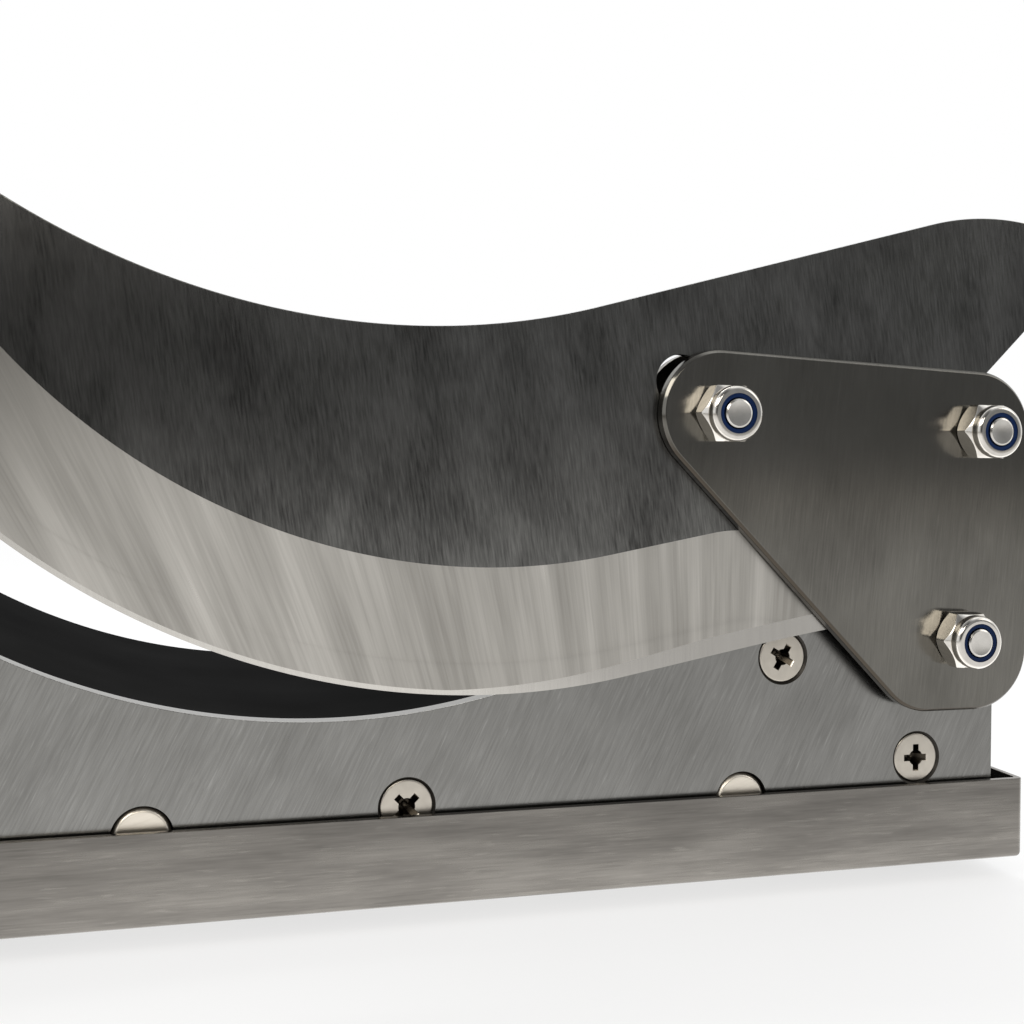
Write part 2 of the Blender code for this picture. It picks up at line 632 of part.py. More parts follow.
def blade_body():
    """Blade with both bevels: the front face ends on the grind line, and two strips slope to the edge."""
    bm = bmesh.new()
    edge, middle, grind, back = [], [], [], []
    stations = edge_stations(60)
    for i, (point, inward, distance, behind) in enumerate(stations):
        back.append(bm.verts.new((point[0], BLADE_BACK, point[1])))
        share = 0.0 if i in (0, len(stations) - 1) else bevel_share(distance)
        width = BEVEL_WIDTH * share
        if not share:
            edge.append(bm.verts.new((point[0], BLADE_FRONT, point[1])))
            middle.append(edge[-1])
            grind.append(edge[-1])
            continue
        narrow = min(second_bevel_width(behind), width / 2)
        at_middle = along(point, inward, narrow)
        at_grind = along(point, inward, width)
        edge_depth = (BLADE_THICKNESS - EDGE_LAND) * share
        middle_depth = (BLADE_THICKNESS - BEVEL_LAND) * share * (1 - narrow / width)
        edge.append(bm.verts.new((point[0], BLADE_FRONT + edge_depth, point[1])))
        middle.append(bm.verts.new((at_middle[0], BLADE_FRONT + middle_depth, at_middle[1])))
        grind.append(bm.verts.new((at_grind[0], BLADE_FRONT, at_grind[1])))
    rest = tail_points() + spine_points() + grip_curve()
    rest_front = [bm.verts.new((x, BLADE_FRONT, z)) for x, z in rest]
    rest_back = [bm.verts.new((x, BLADE_BACK, z)) for x, z in rest]
    for i in range(len(stations) - 1):
        strip(bm, (edge[i], edge[i + 1], middle[i + 1], middle[i]))
        strip(bm, (middle[i], middle[i + 1], grind[i + 1], grind[i]))
    front_rim = edge + rest_front
    back_rim = back + rest_back
    for i in range(len(front_rim)):
        after = (i + 1) % len(front_rim)
        bm.faces.new((front_rim[i], front_rim[after], back_rim[after], back_rim[i]))
    bm.faces.new(grind + rest_front)
    bm.faces.new(back_rim)
    return bm


def strip(bm, corners):
    """One face of a strip, a triangle where two of its corners are the same vertex."""
    kept = [v for i, v in enumerate(corners) if v is not corners[i - 1]]
    if len(kept) > 2:
        bm.faces.new(kept)


def blade():
    """Curved blade with its bevels, the slot and hole for the bushes, and the rivet holes of its tang."""
    made = place("blade", blade_body(), blade_look, arm)
    reach = hypot(*LEFT_CLAMP)
    outward = (LEFT_CLAMP[0] / reach, LEFT_CLAMP[1] / reach)
    ends = (along(LEFT_CLAMP, outward, SLOT_REACH), LEFT_CLAMP)
    slot = hull_of_circles(ends, BUSH_HOLE_RADIUS, 14)
    reach_past = BLADE_THICKNESS
    cutter = slab(slot, BLADE_FRONT - reach_past, BLADE_BACK + reach_past)
    cut(made, place("blade_slot", cutter, guide_look, arm))
    at = (RIGHT_CLAMP[0], 0, RIGHT_CLAMP[1])
    cut(made, through_hole("blade_eye", BUSH_HOLE_RADIUS, BLADE_FRONT, BLADE_BACK, at, arm))
    for i, (x, z) in enumerate(rivet_places()):
        hole = RIVET_RADIUS + GAP
        cut(made, through_hole(f"tang_hole_{i + 1}", hole, BLADE_FRONT, BLADE_BACK, (x, 0, z), arm))


def clamp_bushes():
    """Shouldered bushes: the core passes the blade, and the flange behind is as thick as the lower plate."""
    front, shoulder = FRONT_HINGE_BACK + GAP, BLADE_BACK + GAP
    back = REAR_HINGE_FRONT - GAP
    profile = [(HOLE_RADIUS, front), (BUSH_RADIUS, front), (BUSH_RADIUS, shoulder)]
    profile += [(BUSH_FLANGE_RADIUS, shoulder), (BUSH_FLANGE_RADIUS, back), (HOLE_RADIUS, back)]
    for i, (x, z) in enumerate(CLAMPS):
        place(f"clamp_bush_{i + 1}", turned(profile), bright_look, arm, (x, 0, z))


def pivot_spacer():
    """Ring between the front hinge plate and the lower plate, as thick as the blade."""
    low, high = FRONT_HINGE_BACK + GAP, PLATE_FRONT - GAP
    profile = ring_profile(HOLE_RADIUS, BUSH_FLANGE_RADIUS, low, high)
    place("pivot_spacer", turned(profile), bright_look, arm)


def rear_washers():
    low = REAR_HINGE_FACE + GAP
    profile = ring_profile(HOLE_RADIUS, WASHER_RADIUS, low, low + WASHER_THICKNESS, GAP)
    for i, (x, z) in enumerate(HINGE_BOLTS):
        place(f"rear_washer_{i + 1}", turned(profile), bright_look, arm, (x, 0, z))


def hexagon(front, back):
    """A hexagonal prism about Y with two corners on the X axis."""
    radius = HEX_FLATS / sqrt(3)
    return slab([(radius * cos(pi * i / 3), radius * sin(pi * i / 3)) for i in range(6)], front, back)


def barrel(front, back, front_radius, back_radius):
    """A round guide that takes the corners off a hexagon at one end."""
    middle = HEX_FLATS / sqrt(3) * 1.05
    rise = 0.5
    profile = [(0, front), (front_radius, front), (middle, front + (middle - front_radius) * rise)]
    profile += [(middle, back - (middle - back_radius) * rise), (back_radius, back), (0, back)]
    return turned(profile)


def hinge_bolts():
    """Hexagon bolts from behind: chamfered head, plain shank and chamfered end, level with the nut."""
    head_end = HEAD_FACE + HEAD_HEIGHT
    tip = NUT_FACE - NUT_HEIGHT - BOLT_STANDS_OUT
    head = place("bolt_head", hexagon(HEAD_FACE, head_end), bright_look)
    full = HEX_FLATS / sqrt(3) * 1.05
    round_guide = barrel(HEAD_FACE - GAP, head_end, full, HEX_FLATS / 2)
    cut(head, place("head_barrel", round_guide, guide_look), "INTERSECT")
    chamfer = 0.0007
    shank = [(0, tip), (BOLT_RADIUS - chamfer, tip), (BOLT_RADIUS, tip + chamfer)]
    shank += [(BOLT_RADIUS, HEAD_FACE + HEAD_HEIGHT / 2), (0, HEAD_FACE + HEAD_HEIGHT / 2)]
    cut(head, place("bolt_shank", turned(shank), guide_look), "UNION")
    mesh = finished_mesh(head, "hinge_bolt")
    names = ("pivot_bolt", "clamp_bolt_1", "clamp_bolt_2")
    for name, (x, z) in zip(names, HINGE_BOLTS):
        place_mesh(name, mesh, bright_look, arm, (x, 0, z))


def nyloc_nuts():
    """Lock nuts: a chamfered hexagon, and a round collar that is rolled in over the nylon insert."""
    seam = NUT_FACE - NUT_HEX_HEIGHT
    end = NUT_FACE - NUT_HEIGHT
    body = place("nut_hexagon", hexagon(seam, NUT_FACE), bright_look)
    round_guide = barrel(seam, NUT_FACE, HEX_FLATS / 2, HEX_FLATS / 2)
    cut(body, place("nut_barrel", round_guide, guide_look), "INTERSECT")
    roll = 0.0011
    collar = [(0, end), (NUT_COLLAR_RADIUS - roll, end)]
    flat = NUT_COLLAR_RADIUS - roll
    collar += [(flat + roll * sin(a), end + roll - roll * cos(a)) for a in quarter_steps(4)]
    collar += [(NUT_COLLAR_RADIUS, seam + GAP), (0, seam + GAP)]
    cut(body, place("nut_collar", turned(collar), guide_look), "UNION")
    mouth = [(0, end - GAP), (NUT_COLLAR_MOUTH, end - GAP), (NUT_COLLAR_MOUTH, insert_floor())]
    mouth += [(HOLE_RADIUS, insert_floor()), (HOLE_RADIUS, NUT_FACE + GAP), (0, NUT_FACE + GAP)]
    cut(body, place("nut_bore", turned(mouth), guide_look))
    mesh = finished_mesh(body, "nyloc_nut")
    for name, (x, z) in zip(("pivot_nut", "clamp_nut_1", "clamp_nut_2"), HINGE_BOLTS):
        place_mesh(name, mesh, bright_look, arm, (x, 0, z))


def quarter_steps(count):
    return [pi / 2 * i / count for i in range(1, count + 1)]


def insert_floor():
    """The seat of the nylon insert, inside the collar."""
    return NUT_FACE - NUT_HEIGHT + INSERT_RIM + INSERT_HEIGHT + GAP


def nylon_inserts():
    """Nylon rings in the mouths of the nuts."""
    back = insert_floor() - GAP
    hole, outer = BOLT_RADIUS + INSERT_RIM, NUT_COLLAR_MOUTH - INSERT_RIM
    profile = ring_profile(hole, outer, back - INSERT_HEIGHT, back)
    for name, (x, z) in zip(("pivot_insert", "clamp_insert_1", "clamp_insert_2"), HINGE_BOLTS):
        place(name, turned(profile), nylon_look, arm, (x, 0, z))


def handle_scales():
    """Two moulded scales with the grip's outline and a rounded nose, one on each face of the tang."""
    curve = grip_curve()
    nose = []
    for i in range(1, 8):
        angle = pi * i / 8
        depth = GRIP_DEPTH * (1 + cos(angle)) / 2
        nose.append(grip_point(GRIP_START - SCALE_NOSE * sin(angle), depth))
    outline = curve + nose
    sides = (
        ("front_scale", BLADE_FRONT - GAP, BLADE_FRONT - GAP - SCALE_THICKNESS),
        ("rear_scale", BLADE_BACK + GAP, BLADE_BACK + GAP + SCALE_THICKNESS),
    )
    for name, inner, outer in sides:
        bm = slab(outline, outer, inner, rounding=SCALE_ROUND, segments=3, rounded_back=False)
        scale = place(name, bm, scale_look, arm)
        for i, (x, z) in enumerate(rivet_places()):
            low, high = min(inner, outer), max(inner, outer)
            hole = RIVET_RADIUS + GAP
            cut(scale, through_hole(f"{name}_hole_{i + 1}", hole, low, high, (x, 0, z), arm))


def rivet_places():
    """Rivet centres, evenly spaced along the middle of the grip."""
    spacing = (GRIP_LENGTH - 2 * RIVET_END_INSET) / (RIVET_COUNT - 1)
    places = []
    for i in range(RIVET_COUNT):
        distance = RIVET_END_INSET + spacing * i
        upper, lower = grip_line(distance / GRIP_LENGTH)
        places.append(grip_point(GRIP_START + distance, (upper + lower) / 2))
    return places


def handle_rivets():
    """Rivets through scales and tang, with slightly domed ends that stand a little proud."""
    front = BLADE_FRONT - GAP - SCALE_THICKNESS - RIVET_PROUD
    back = BLADE_BACK + GAP + SCALE_THICKNESS + RIVET_PROUD
    dome = RIVET_RADIUS * 0.6
    profile = [(0, front - RIVET_PROUD), (dome, front), (RIVET_RADIUS, front + RIVET_PROUD)]
    profile += [(RIVET_RADIUS, back - RIVET_PROUD), (dome, back), (0, back + RIVET_PROUD)]
    for i, (x, z) in enumerate(rivet_places()):
        place(f"handle_rivet_{i + 1}", turned(profile), bright_look, arm, (x, 0, z))


clear_scene()
guide_look = material("guide", (0.2, 0.6, 0.9), 0.5, 0.0)
tray_look = material("brushed_tray", (0.42, 0.40, 0.38), 0.38, 1.0)
plate_look = material("brushed_plate", (0.42, 0.41, 0.40), 0.36, 1.0)
hinge_look = material("brushed_hinge", (0.36, 0.35, 0.34), 0.36, 1.0)
blade_look = material("ground_blade", (0.34, 0.33, 0.32), 0.32, 1.0)
bright_look = material("bright_fastener", (0.72, 0.70, 0.66), 0.16, 1.0)
block_look = material("black_block", (0.012, 0.012, 0.012), 0.5, 0.0)
nylon_look = material("blue_nylon", (0.004, 0.02, 0.09), 0.4, 0.0)
scale_look = material("black_scale", (0.015, 0.015, 0.016), 0.42, 0.0)
rubber_look = material("black_rubber", (0.02, 0.02, 0.02), 0.8, 0.0)

arm = bpy.data.objects.new("arm_pivot", None)
bpy.context.collection.objects.link(arm)
arm.location = PIVOT

base_tray()
feed_block()
lower_plate()
plate_screws()
locating_pins()
feet()
foot_screws()
blade()
hinge_plate("front_hinge_plate", FRONT_HINGE_BACK, FRONT_HINGE_FACE)
hinge_plate("rear_hinge_plate", REAR_HINGE_FRONT, REAR_HINGE_FACE)
clamp_bushes()
pivot_spacer()
rear_washers()
hinge_bolts()
nyloc_nuts()
nylon_inserts()
handle_scales()
handle_rivets()
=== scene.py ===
"""Looks for the lever guillotine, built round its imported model, piece by piece as it is put together."""

import json
from math import acos, atan2, copysign, cos, hypot, pi, radians, sin, sqrt

import bmesh
import bpy
from mathutils import Matrix, Vector


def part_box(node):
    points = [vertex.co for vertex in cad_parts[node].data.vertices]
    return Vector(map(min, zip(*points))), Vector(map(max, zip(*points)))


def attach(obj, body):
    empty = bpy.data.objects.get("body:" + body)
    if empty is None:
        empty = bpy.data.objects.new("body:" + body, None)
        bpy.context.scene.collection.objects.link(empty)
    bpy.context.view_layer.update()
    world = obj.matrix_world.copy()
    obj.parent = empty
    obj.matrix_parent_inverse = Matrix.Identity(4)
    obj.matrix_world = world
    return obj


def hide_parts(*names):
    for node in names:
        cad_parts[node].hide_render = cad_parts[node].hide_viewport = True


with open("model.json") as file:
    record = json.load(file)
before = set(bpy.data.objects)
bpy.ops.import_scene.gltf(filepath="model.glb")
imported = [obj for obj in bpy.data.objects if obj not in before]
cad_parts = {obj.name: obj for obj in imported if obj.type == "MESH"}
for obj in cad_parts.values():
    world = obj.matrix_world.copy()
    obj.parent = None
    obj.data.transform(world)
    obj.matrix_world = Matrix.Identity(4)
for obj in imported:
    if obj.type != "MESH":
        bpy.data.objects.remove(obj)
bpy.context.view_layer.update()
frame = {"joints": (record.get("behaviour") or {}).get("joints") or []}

# Tray
# Stainless sheet folded up on four sides, its corners welded and ground round, then brushed along its length.
# The feed block, the lower plate and the feet are all screwed to it.
tray_low, tray_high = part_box("base_tray")
SHEET = 0.0015
OUTER_BEND = 0.0014
INNER_BEND = 0.0008
OUTER_CORNER = 0.0015
INNER_CORNER = 0.0009
EDGE_ANGLE = radians(32)


def feed(made, sockets):
    """Sets a node's sockets. A value is either a number or another node's output, which is linked."""
    for name, value in sockets.items():
        if isinstance(value, bpy.types.NodeSocket):
            made.id_data.links.new(value, made.inputs[name])
        else:
            made.inputs[name].default_value = value
    return made


def node(nodes, kind, sockets=None, **settings):
    made = nodes.new(kind if "Node" in kind else "ShaderNode" + kind)
    for name, value in settings.items():
        setattr(made, name, value)
    return feed(made, sockets or {})


def maths(nodes, operation, *values, **settings):
    return node(nodes, "Math", dict(enumerate(values)), operation=operation, **settings).outputs[0]


def span(nodes, value, start=0.0, end=1.0, low=0.0, high=1.0):
    """Turns a value's way from start to end into a way from low to high."""
    ends = {"Value": value, "From Min": start, "From Max": end, "To Min": low, "To Max": high}
    return node(nodes, "MapRange", ends).outputs[0]


def blend(nodes, share, *tones):
    """A colour between two tones, each given as three numbers or by a node."""
    tones = [(*tone, 1) if isinstance(tone, tuple) else tone for tone in tones]
    return node(nodes, "Mix", {0: share, 6: tones[0], 7: tones[1]}, data_type="RGBA").outputs[2]


def noise(nodes, spot, scale, detail):
    """Noise at a scale per metre, or at one scale for each axis."""
    if isinstance(scale, tuple):
        spot, scale = node(nodes, "Mapping", {"Vector": spot, "Scale": scale}).outputs[0], 1.0
    return node(nodes, "TexNoise", {"Vector": spot, "Scale": scale, "Detail": detail}).outputs[0]


def relief(nodes, height, strength, depth):
    return node(nodes, "Bump", {"Height": height, "Strength": strength, "Distance": depth}).outputs[0]


def axes(nodes, vector):
    return node(nodes, "SeparateXYZ", {0: vector}).outputs


def new_look(name):
    """A new material, its nodes and its Object coordinates."""
    look = bpy.data.materials.new(name)
    look.use_nodes = True
    nodes = look.node_tree.nodes
    return look, nodes, node(nodes, "TexCoord").outputs["Object"]


def steel(name, dark, light, lay=0.0, grain=2600.0, run=60.0, roughness=0.25, spread=0.6, strokes=0.7,
          scratches=0.2, blotches=0.35, clouds=(55.0, 40.0), highlight="X", shelf=False, fan=None, downward_shade=None):
    """Brushed stainless steel. lay is the angle of the brushing, measured in the X-Z plane from X.

    grain and run are its fineness across and along, per metre, and clouds the same for its wide patches.
    highlight is the axis that light spreads along. shelf turns the pattern on flat upward faces.
    Without it, the faces that don't look along Y are left plain, as cut and deburred edges are.
    fan is a place in the X-Z plane that all the strokes point at, instead of the lay.
    The last argument gives edges that look downwards a darker colour, as painted shade.
    """
    look, nodes, spot = new_look(name)
    turned = node(nodes, "Mapping", {"Vector": spot, "Rotation": (0, lay, 0)}).outputs[0]
    if fan:
        off = node(nodes, "VectorMath", {0: spot, 1: (fan[0], 0, fan[1])}, operation="SUBTRACT").outputs[0]
        reach = node(nodes, "VectorMath", {0: off}, operation="LENGTH").outputs["Value"]
        parts = axes(nodes, off)
        around = maths(nodes, "MULTIPLY", maths(nodes, "ARCTAN2", parts["X"], parts["Z"]), hypot(*fan))
        turned = node(nodes, "CombineXYZ", {"X": reach, "Y": parts["Y"], "Z": around}).outputs[0]
    facing = axes(nodes, node(nodes, "NewGeometry").outputs["Normal"])
    if shelf:
        parts = axes(nodes, turned)
        level = node(nodes, "CombineXYZ", {"X": parts["X"], "Y": parts["Z"], "Z": parts["Y"]}).outputs[0]
        flat = maths(nodes, "GREATER_THAN", maths(nodes, "ABSOLUTE", facing["Z"]), 0.6)
        turned = node(nodes, "Mix", {0: flat, 4: turned, 5: level}, data_type="VECTOR").outputs[1]

    def layer(across, along, detail):
        return noise(nodes, turned, (along, along, across), detail)

    fine = layer(grain, run, 4.0)
    shade = 0.4 - strokes / 2 - blotches / 2
    for part, weight in ((fine, strokes), (layer(grain * 0.3, run * 0.5, 2.0), 0.2), (layer(*clouds, 4.0), blotches)):
        shade = maths(nodes, "MULTIPLY_ADD", part, weight, shade)
    marks = span(nodes, layer(grain * 0.6, run * 1.4, 1.0), 0.64, 0.78, 0.0, scratches)
    shade = maths(nodes, "ADD", shade, marks, use_clamp=True)
    if not shelf:
        broadside = maths(nodes, "ABSOLUTE", facing["Y"])
        shade = node(nodes, "Mix", {0: broadside, 2: 0.5, 3: shade}).outputs[0]
    colour = blend(nodes, shade, dark, light)
    # Painted shade: edges whose normals look downwards are blended towards the darker colour.
    if downward_shade:
        colour = blend(nodes, span(nodes, facing["Z"], -0.15, -0.45), colour, downward_shade)
    tangent = node(nodes, "Tangent", direction_type="RADIAL", axis={"X": "Z", "Z": "X"}[highlight]).outputs[0]
    feed(nodes["Principled BSDF"], {
        "Base Color": colour, "Metallic": 1.0, "Anisotropic": spread, "Tangent": tangent,
        "Roughness": span(nodes, shade, 0.0, 1.0, roughness + 0.04, roughness - 0.04),
        "Normal": relief(nodes, fine, strokes / 10, 0.00002)})
    return look


def set_out(name, data):
    made = bpy.data.objects.new(name, data)
    bpy.context.scene.collection.objects.link(made)
    return made


def piece(name, bm, *looks):
    """A named piece at the origin from a bmesh, flat faces kept flat beside its rounded edges."""
    mesh = bpy.data.meshes.new(name)
    bmesh.ops.recalc_face_normals(bm, faces=bm.faces)
    bm.to_mesh(mesh)
    bm.free()
    for look in looks:
        mesh.materials.append(look)
    made = set_out(name, mesh)
    mesh.shade_smooth()
    mesh.set_sharp_from_angle(angle=EDGE_ANGLE)
    return made


def settled(made):
    """Turns a piece with modifiers into a plain mesh, and takes its guides away."""
    guides = [m.object for m in made.modifiers if m.type == "BOOLEAN"]
    bpy.context.view_layer.update()
    result = bpy.data.meshes.new_from_object(made.evaluated_get(bpy.context.evaluated_depsgraph_get()))
    made.modifiers.clear()
    made.data = result
    result.name = made.name
    for guide in guides:
        bpy.data.objects.remove(guide, do_unlink=True)
    return made


def without_slivers(bm, smallest):
    """Closes up the faces with no area that narrow bevels and exact cuts leave."""
    bmesh.ops.remove_doubles(bm, verts=bm.verts, dist=smallest)
    bmesh.ops.dissolve_degenerate(bm, edges=bm.edges, dist=smallest)
    return bm


def carve(made, guides):
    for guide in guides:
        cut = made.modifiers.new(guide.name, "BOOLEAN")
        cut.object = guide
        cut.solver = "EXACT"
    settled(made)
    bm = bmesh.new()
    bm.from_mesh(made.data)
    without_slivers(bm, 5e-7).to_mesh(made.data)
    bm.free()


def break_edges(made, width, angle):
    """Breaks the edges that are sharper than an angle."""
    worn = made.modifiers.new("worn", "BEVEL")
    worn.width = width
    worn.segments = 2
    worn.limit_method = "ANGLE"
    worn.angle_limit = radians(angle)
    settled(made)


def lit_flat(made):
    """Gives wide flat faces their own direction of light beside narrow rounded ones."""
    weighted = made.modifiers.new("even", "WEIGHTED_NORMAL")
    weighted.keep_sharp = True
    weighted.weight = 80
    settled(made)


def even(made, angle=EDGE_ANGLE):
    made.data.shade_smooth()
    made.data.set_sharp_from_angle(angle=angle)
    lit_flat(made)


def bevelled(bm, edges, offset, segments):
    bmesh.ops.bevel(bm, geom=edges, offset=offset, segments=segments, profile=0.5, affect="EDGES")


def tray_shape(inset, bottom, top, bend, corner):
    bm = bmesh.new()
    bmesh.ops.create_cube(bm, size=1)
    middle = (tray_low + tray_high) / 2
    half = (tray_high - tray_low) / 2 - Vector((inset, inset, 0))
    for v in bm.verts:
        z = top if v.co.z > 0 else bottom
        v.co = (middle.x + 2 * half.x * v.co.x, middle.y + 2 * half.y * v.co.y, z)
    upright = [e for e in bm.edges if abs(e.verts[0].co.z - e.verts[1].co.z) > 0.001]
    bevelled(bm, upright, corner, 5)
    low = [e for e in bm.edges if all(abs(v.co.z - bottom) < 1e-7 for v in e.verts) and len(e.link_faces) == 2]
    low = [e for e in low if e.calc_face_angle() > 1]
    bevelled(bm, low, bend, 6)
    return bm


tray_steel = steel("tray_steel", (0.098, 0.092, 0.084), (0.284, 0.266, 0.242), run=110, roughness=0.28,
                   spread=0.4, strokes=0.5, blotches=1.2, clouds=(160.0, 26.0), highlight="Z", shelf=True)
tray = piece("tray", tray_shape(0, tray_low.z, tray_high.z, OUTER_BEND, OUTER_CORNER), tray_steel)
carve(tray, [piece("tray_room", tray_shape(SHEET, SHEET, tray_high.z + SHEET, INNER_BEND, INNER_CORNER))])
break_edges(tray, 0.0002, 80)
even(tray)
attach(tray, "base")
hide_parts("base_tray")


# Feet and their screws
# Moulded rubber feet, each held by a pan-head screw that runs up through the tray into the feed block.
# The head sits in a recess, clear of the worktop.
FOOT_BASE_RADIUS = 0.0095
FOOT_BORE = 0.0027
RECESS_RADIUS = 0.006
RECESS_DEPTH = 0.003
foot_names = [f"foot_{i + 1}" for i in range(4)]
foot_screw_names = [f"foot_screw_{i + 1}" for i in range(4)]


def rubber(name, colour, roughness, grain, depth):
    """Moulded rubber or plastic with a fine grain, a little paler in wide patches."""
    look, nodes, spot = new_look(name)
    speck = noise(nodes, spot, grain, 3.0)
    pale = tuple(c * 2.2 + 0.001 for c in colour)
    feed(nodes["Principled BSDF"], {
        "Base Color": blend(nodes, noise(nodes, spot, grain / 30, 2.0), colour, pale),
        "Roughness": span(nodes, speck, 0.0, 1.0, roughness - 0.08, roughness + 0.08),
        "Normal": relief(nodes, speck, 0.5, depth)})
    return look


def bright(name, tone, roughness):
    """Polished stainless of small turned parts, with faint marks round the Y axis and a few nicks."""
    look, nodes, spot = new_look(name)
    marks = noise(nodes, spot, (90, 2600, 90), 3.0)
    dull = tuple(c * 0.72 for c in tone)
    feed(nodes["Principled BSDF"], {
        "Base Color": blend(nodes, noise(nodes, spot, 420.0, 4.0), dull, tone), "Metallic": 1.0,
        "Roughness": span(nodes, marks, 0.0, 1.0, roughness, roughness + 0.14),
        "Normal": relief(nodes, marks, 0.12, 0.00002)})
    return look


def turned(profile, steps, upright=False):
    """A solid or ring of revolution about Y, or about Z, from (radius, place) points."""
    bm = bmesh.new()
    verts = [bm.verts.new((r, 0, a) if upright else (r, a, 0)) for r, a in profile]
    edges = [bm.edges.new(pair) for pair in zip(verts, verts[1:])]
    if profile[0][0] > 0:
        edges.append(bm.edges.new((verts[-1], verts[0])))
    axis = (0, 0, 1) if upright else (0, 1, 0)
    bmesh.ops.spin(bm, geom=verts + edges, cent=(0, 0, 0), axis=axis, angle=2 * pi, steps=steps)
    bmesh.ops.remove_doubles(bm, verts=bm.verts, dist=2e-6)
    bmesh.ops.recalc_face_normals(bm, faces=bm.faces)
    return bm


def rounded(profile, radius, steps=3):
    """Rounds the inner corners of an open profile with short arcs, as far as its neighbours allow."""
    out = [profile[0]]
    for before, corner, after in zip(profile, profile[1:], profile[2:]):
        a, b, c = Vector(before), Vector(corner), Vector(after)
        reach = min(radius, (a - b).length * 0.45, (c - b).length * 0.45)
        start, end = b + (a - b).normalized() * reach, b + (c - b).normalized() * reach
        for i in range(steps + 1):
            t = i / steps
            p = start * (1 - t) ** 2 + b * 2 * t * (1 - t) + end * t**2
            out.append((p.x, p.y))
    return out + [profile[-1]]


def cross_drive(name, depth_at, reach, width, depth, upright=False):
    """The cross recess of a screw's head: four tapering wings and a pointed middle."""
    cutters = []
    for k in range(2):
        bm = bmesh.new()
        bmesh.ops.create_cube(bm, size=1)
        for v in bm.verts:
            inner = v.co.y > 0
            along = v.co.x * 2 * reach * (0.35 if inner else 1.0)
            across = v.co.z * width * (0.6 if inner else 1.0)
            down = depth_at + (depth if inner else -0.0003)
            x, z = (along, across) if k == 0 else (-across, along)
            v.co = (x, z, down) if upright else (x, down, z)
        cutters.append(piece(f"{name}_wing_{k}", bm))
    return cutters


def planned_tree(name, inputs, output):
    """Starts a tree of Geometry Nodes. Gives it with its inputs' identifiers, its nodes and what it is given."""
    tree = bpy.data.node_groups.new(name, "GeometryNodeTree")
    keys = {}
    for label, kind in inputs.items():
        socket = tree.interface.new_socket(label, in_out="INPUT", socket_type="NodeSocket" + kind)
        keys[label] = socket.identifier
    tree.interface.new_socket(output, in_out="OUTPUT", socket_type="NodeSocketGeometry")
    return tree, keys, tree.nodes, node(tree.nodes, "NodeGroupInput").outputs


def finished_tree(nodes, made, finish, output):
    solid = node(nodes, "GeometryNodeRealizeInstances", {0: made.outputs[0]})
    done = node(nodes, "GeometryNodeSetMaterial", {"Geometry": solid.outputs[0], "Material": finish})
    node(nodes, "NodeGroupOutput", {output: done.outputs[0]})


# The stamp puts a copy of one piece on every place, turned by that place's own angle.
stamp_inputs = {"Places": "Geometry", "Piece": "Object", "Size": "Float", "Turning axis": "Vector"}
stamp_inputs["Finish"] = "Material"
stamp, stamp_keys, nodes, given = planned_tree("stamp_on_places", stamp_inputs, "Set")
copy = node(nodes, "GeometryNodeObjectInfo", {"Object": given["Piece"]})
angle = node(nodes, "GeometryNodeInputNamedAttribute", {"Name": "turn"}, data_type="FLOAT")
around = {0: given["Turning axis"], "Scale": angle.outputs["Attribute"]}
turn = node(nodes, "VectorMath", around, operation="SCALE")
sockets = {"Points": given["Places"], "Instance": copy.outputs["Geometry"]}
sockets.update({"Rotation": turn.outputs[0], "Scale": given["Size"]})
placed = node(nodes, "GeometryNodeInstanceOnPoints", sockets)
finished_tree(nodes, placed, given["Finish"], "Set")


def made_by(made, tree, keys, values):
    """Runs a tree on a piece and keeps the result as its plain mesh."""
    modifier = made.modifiers.new(tree.name, "NODES")
    modifier.node_group = tree
    for label, value in values.items():
        modifier[keys[label]] = value
    settled(made)


def stamped(name, template, places, finish, turns=None, axis=(0, 1, 0)):
    """One mesh of like parts from a template made at the origin. The template is taken away."""
    mesh = bpy.data.meshes.new(name)
    mesh.from_pydata(places, [], [])
    mesh.attributes.new("turn", "FLOAT", "POINT").data.foreach_set("value", turns or [0.0] * len(places))
    made = set_out(name, mesh)
    made_by(made, stamp, stamp_keys, {"Piece": template, "Size": 1.0, "Turning axis": axis, "Finish": finish})
    bpy.data.objects.remove(template, do_unlink=True)
    return made


def box_middle(name):
    low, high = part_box(name)
    return (low + high) / 2


foot_rubber = rubber("foot_rubber", (0.018, 0.018, 0.018), 0.72, 1900.0, 0.00004)
fastener_steel = bright("fastener_steel", (0.80, 0.77, 0.72), 0.13)
foot_low, foot_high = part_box("foot_1")
foot_top, foot_base = foot_high.z, foot_low.z
recess_top = foot_base + RECESS_DEPTH
foot_profile = [(FOOT_BORE, foot_top - 0.001), (FOOT_BORE, foot_top), ((foot_high.x - foot_low.x) / 2, foot_top)]
foot_profile += [(FOOT_BASE_RADIUS, foot_base), (RECESS_RADIUS, foot_base), (RECESS_RADIUS, recess_top)]
foot_profile += [(FOOT_BORE, recess_top), (FOOT_BORE, foot_top - 0.0011)]
foot = piece("foot_shape", turned(rounded(foot_profile, 0.0006), 72, True))
foot_places = [(box_middle(n).x, box_middle(n).y, 0) for n in foot_names]
feet = stamped("feet", foot, foot_places, foot_rubber)
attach(feet, "base")
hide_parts(*foot_names)

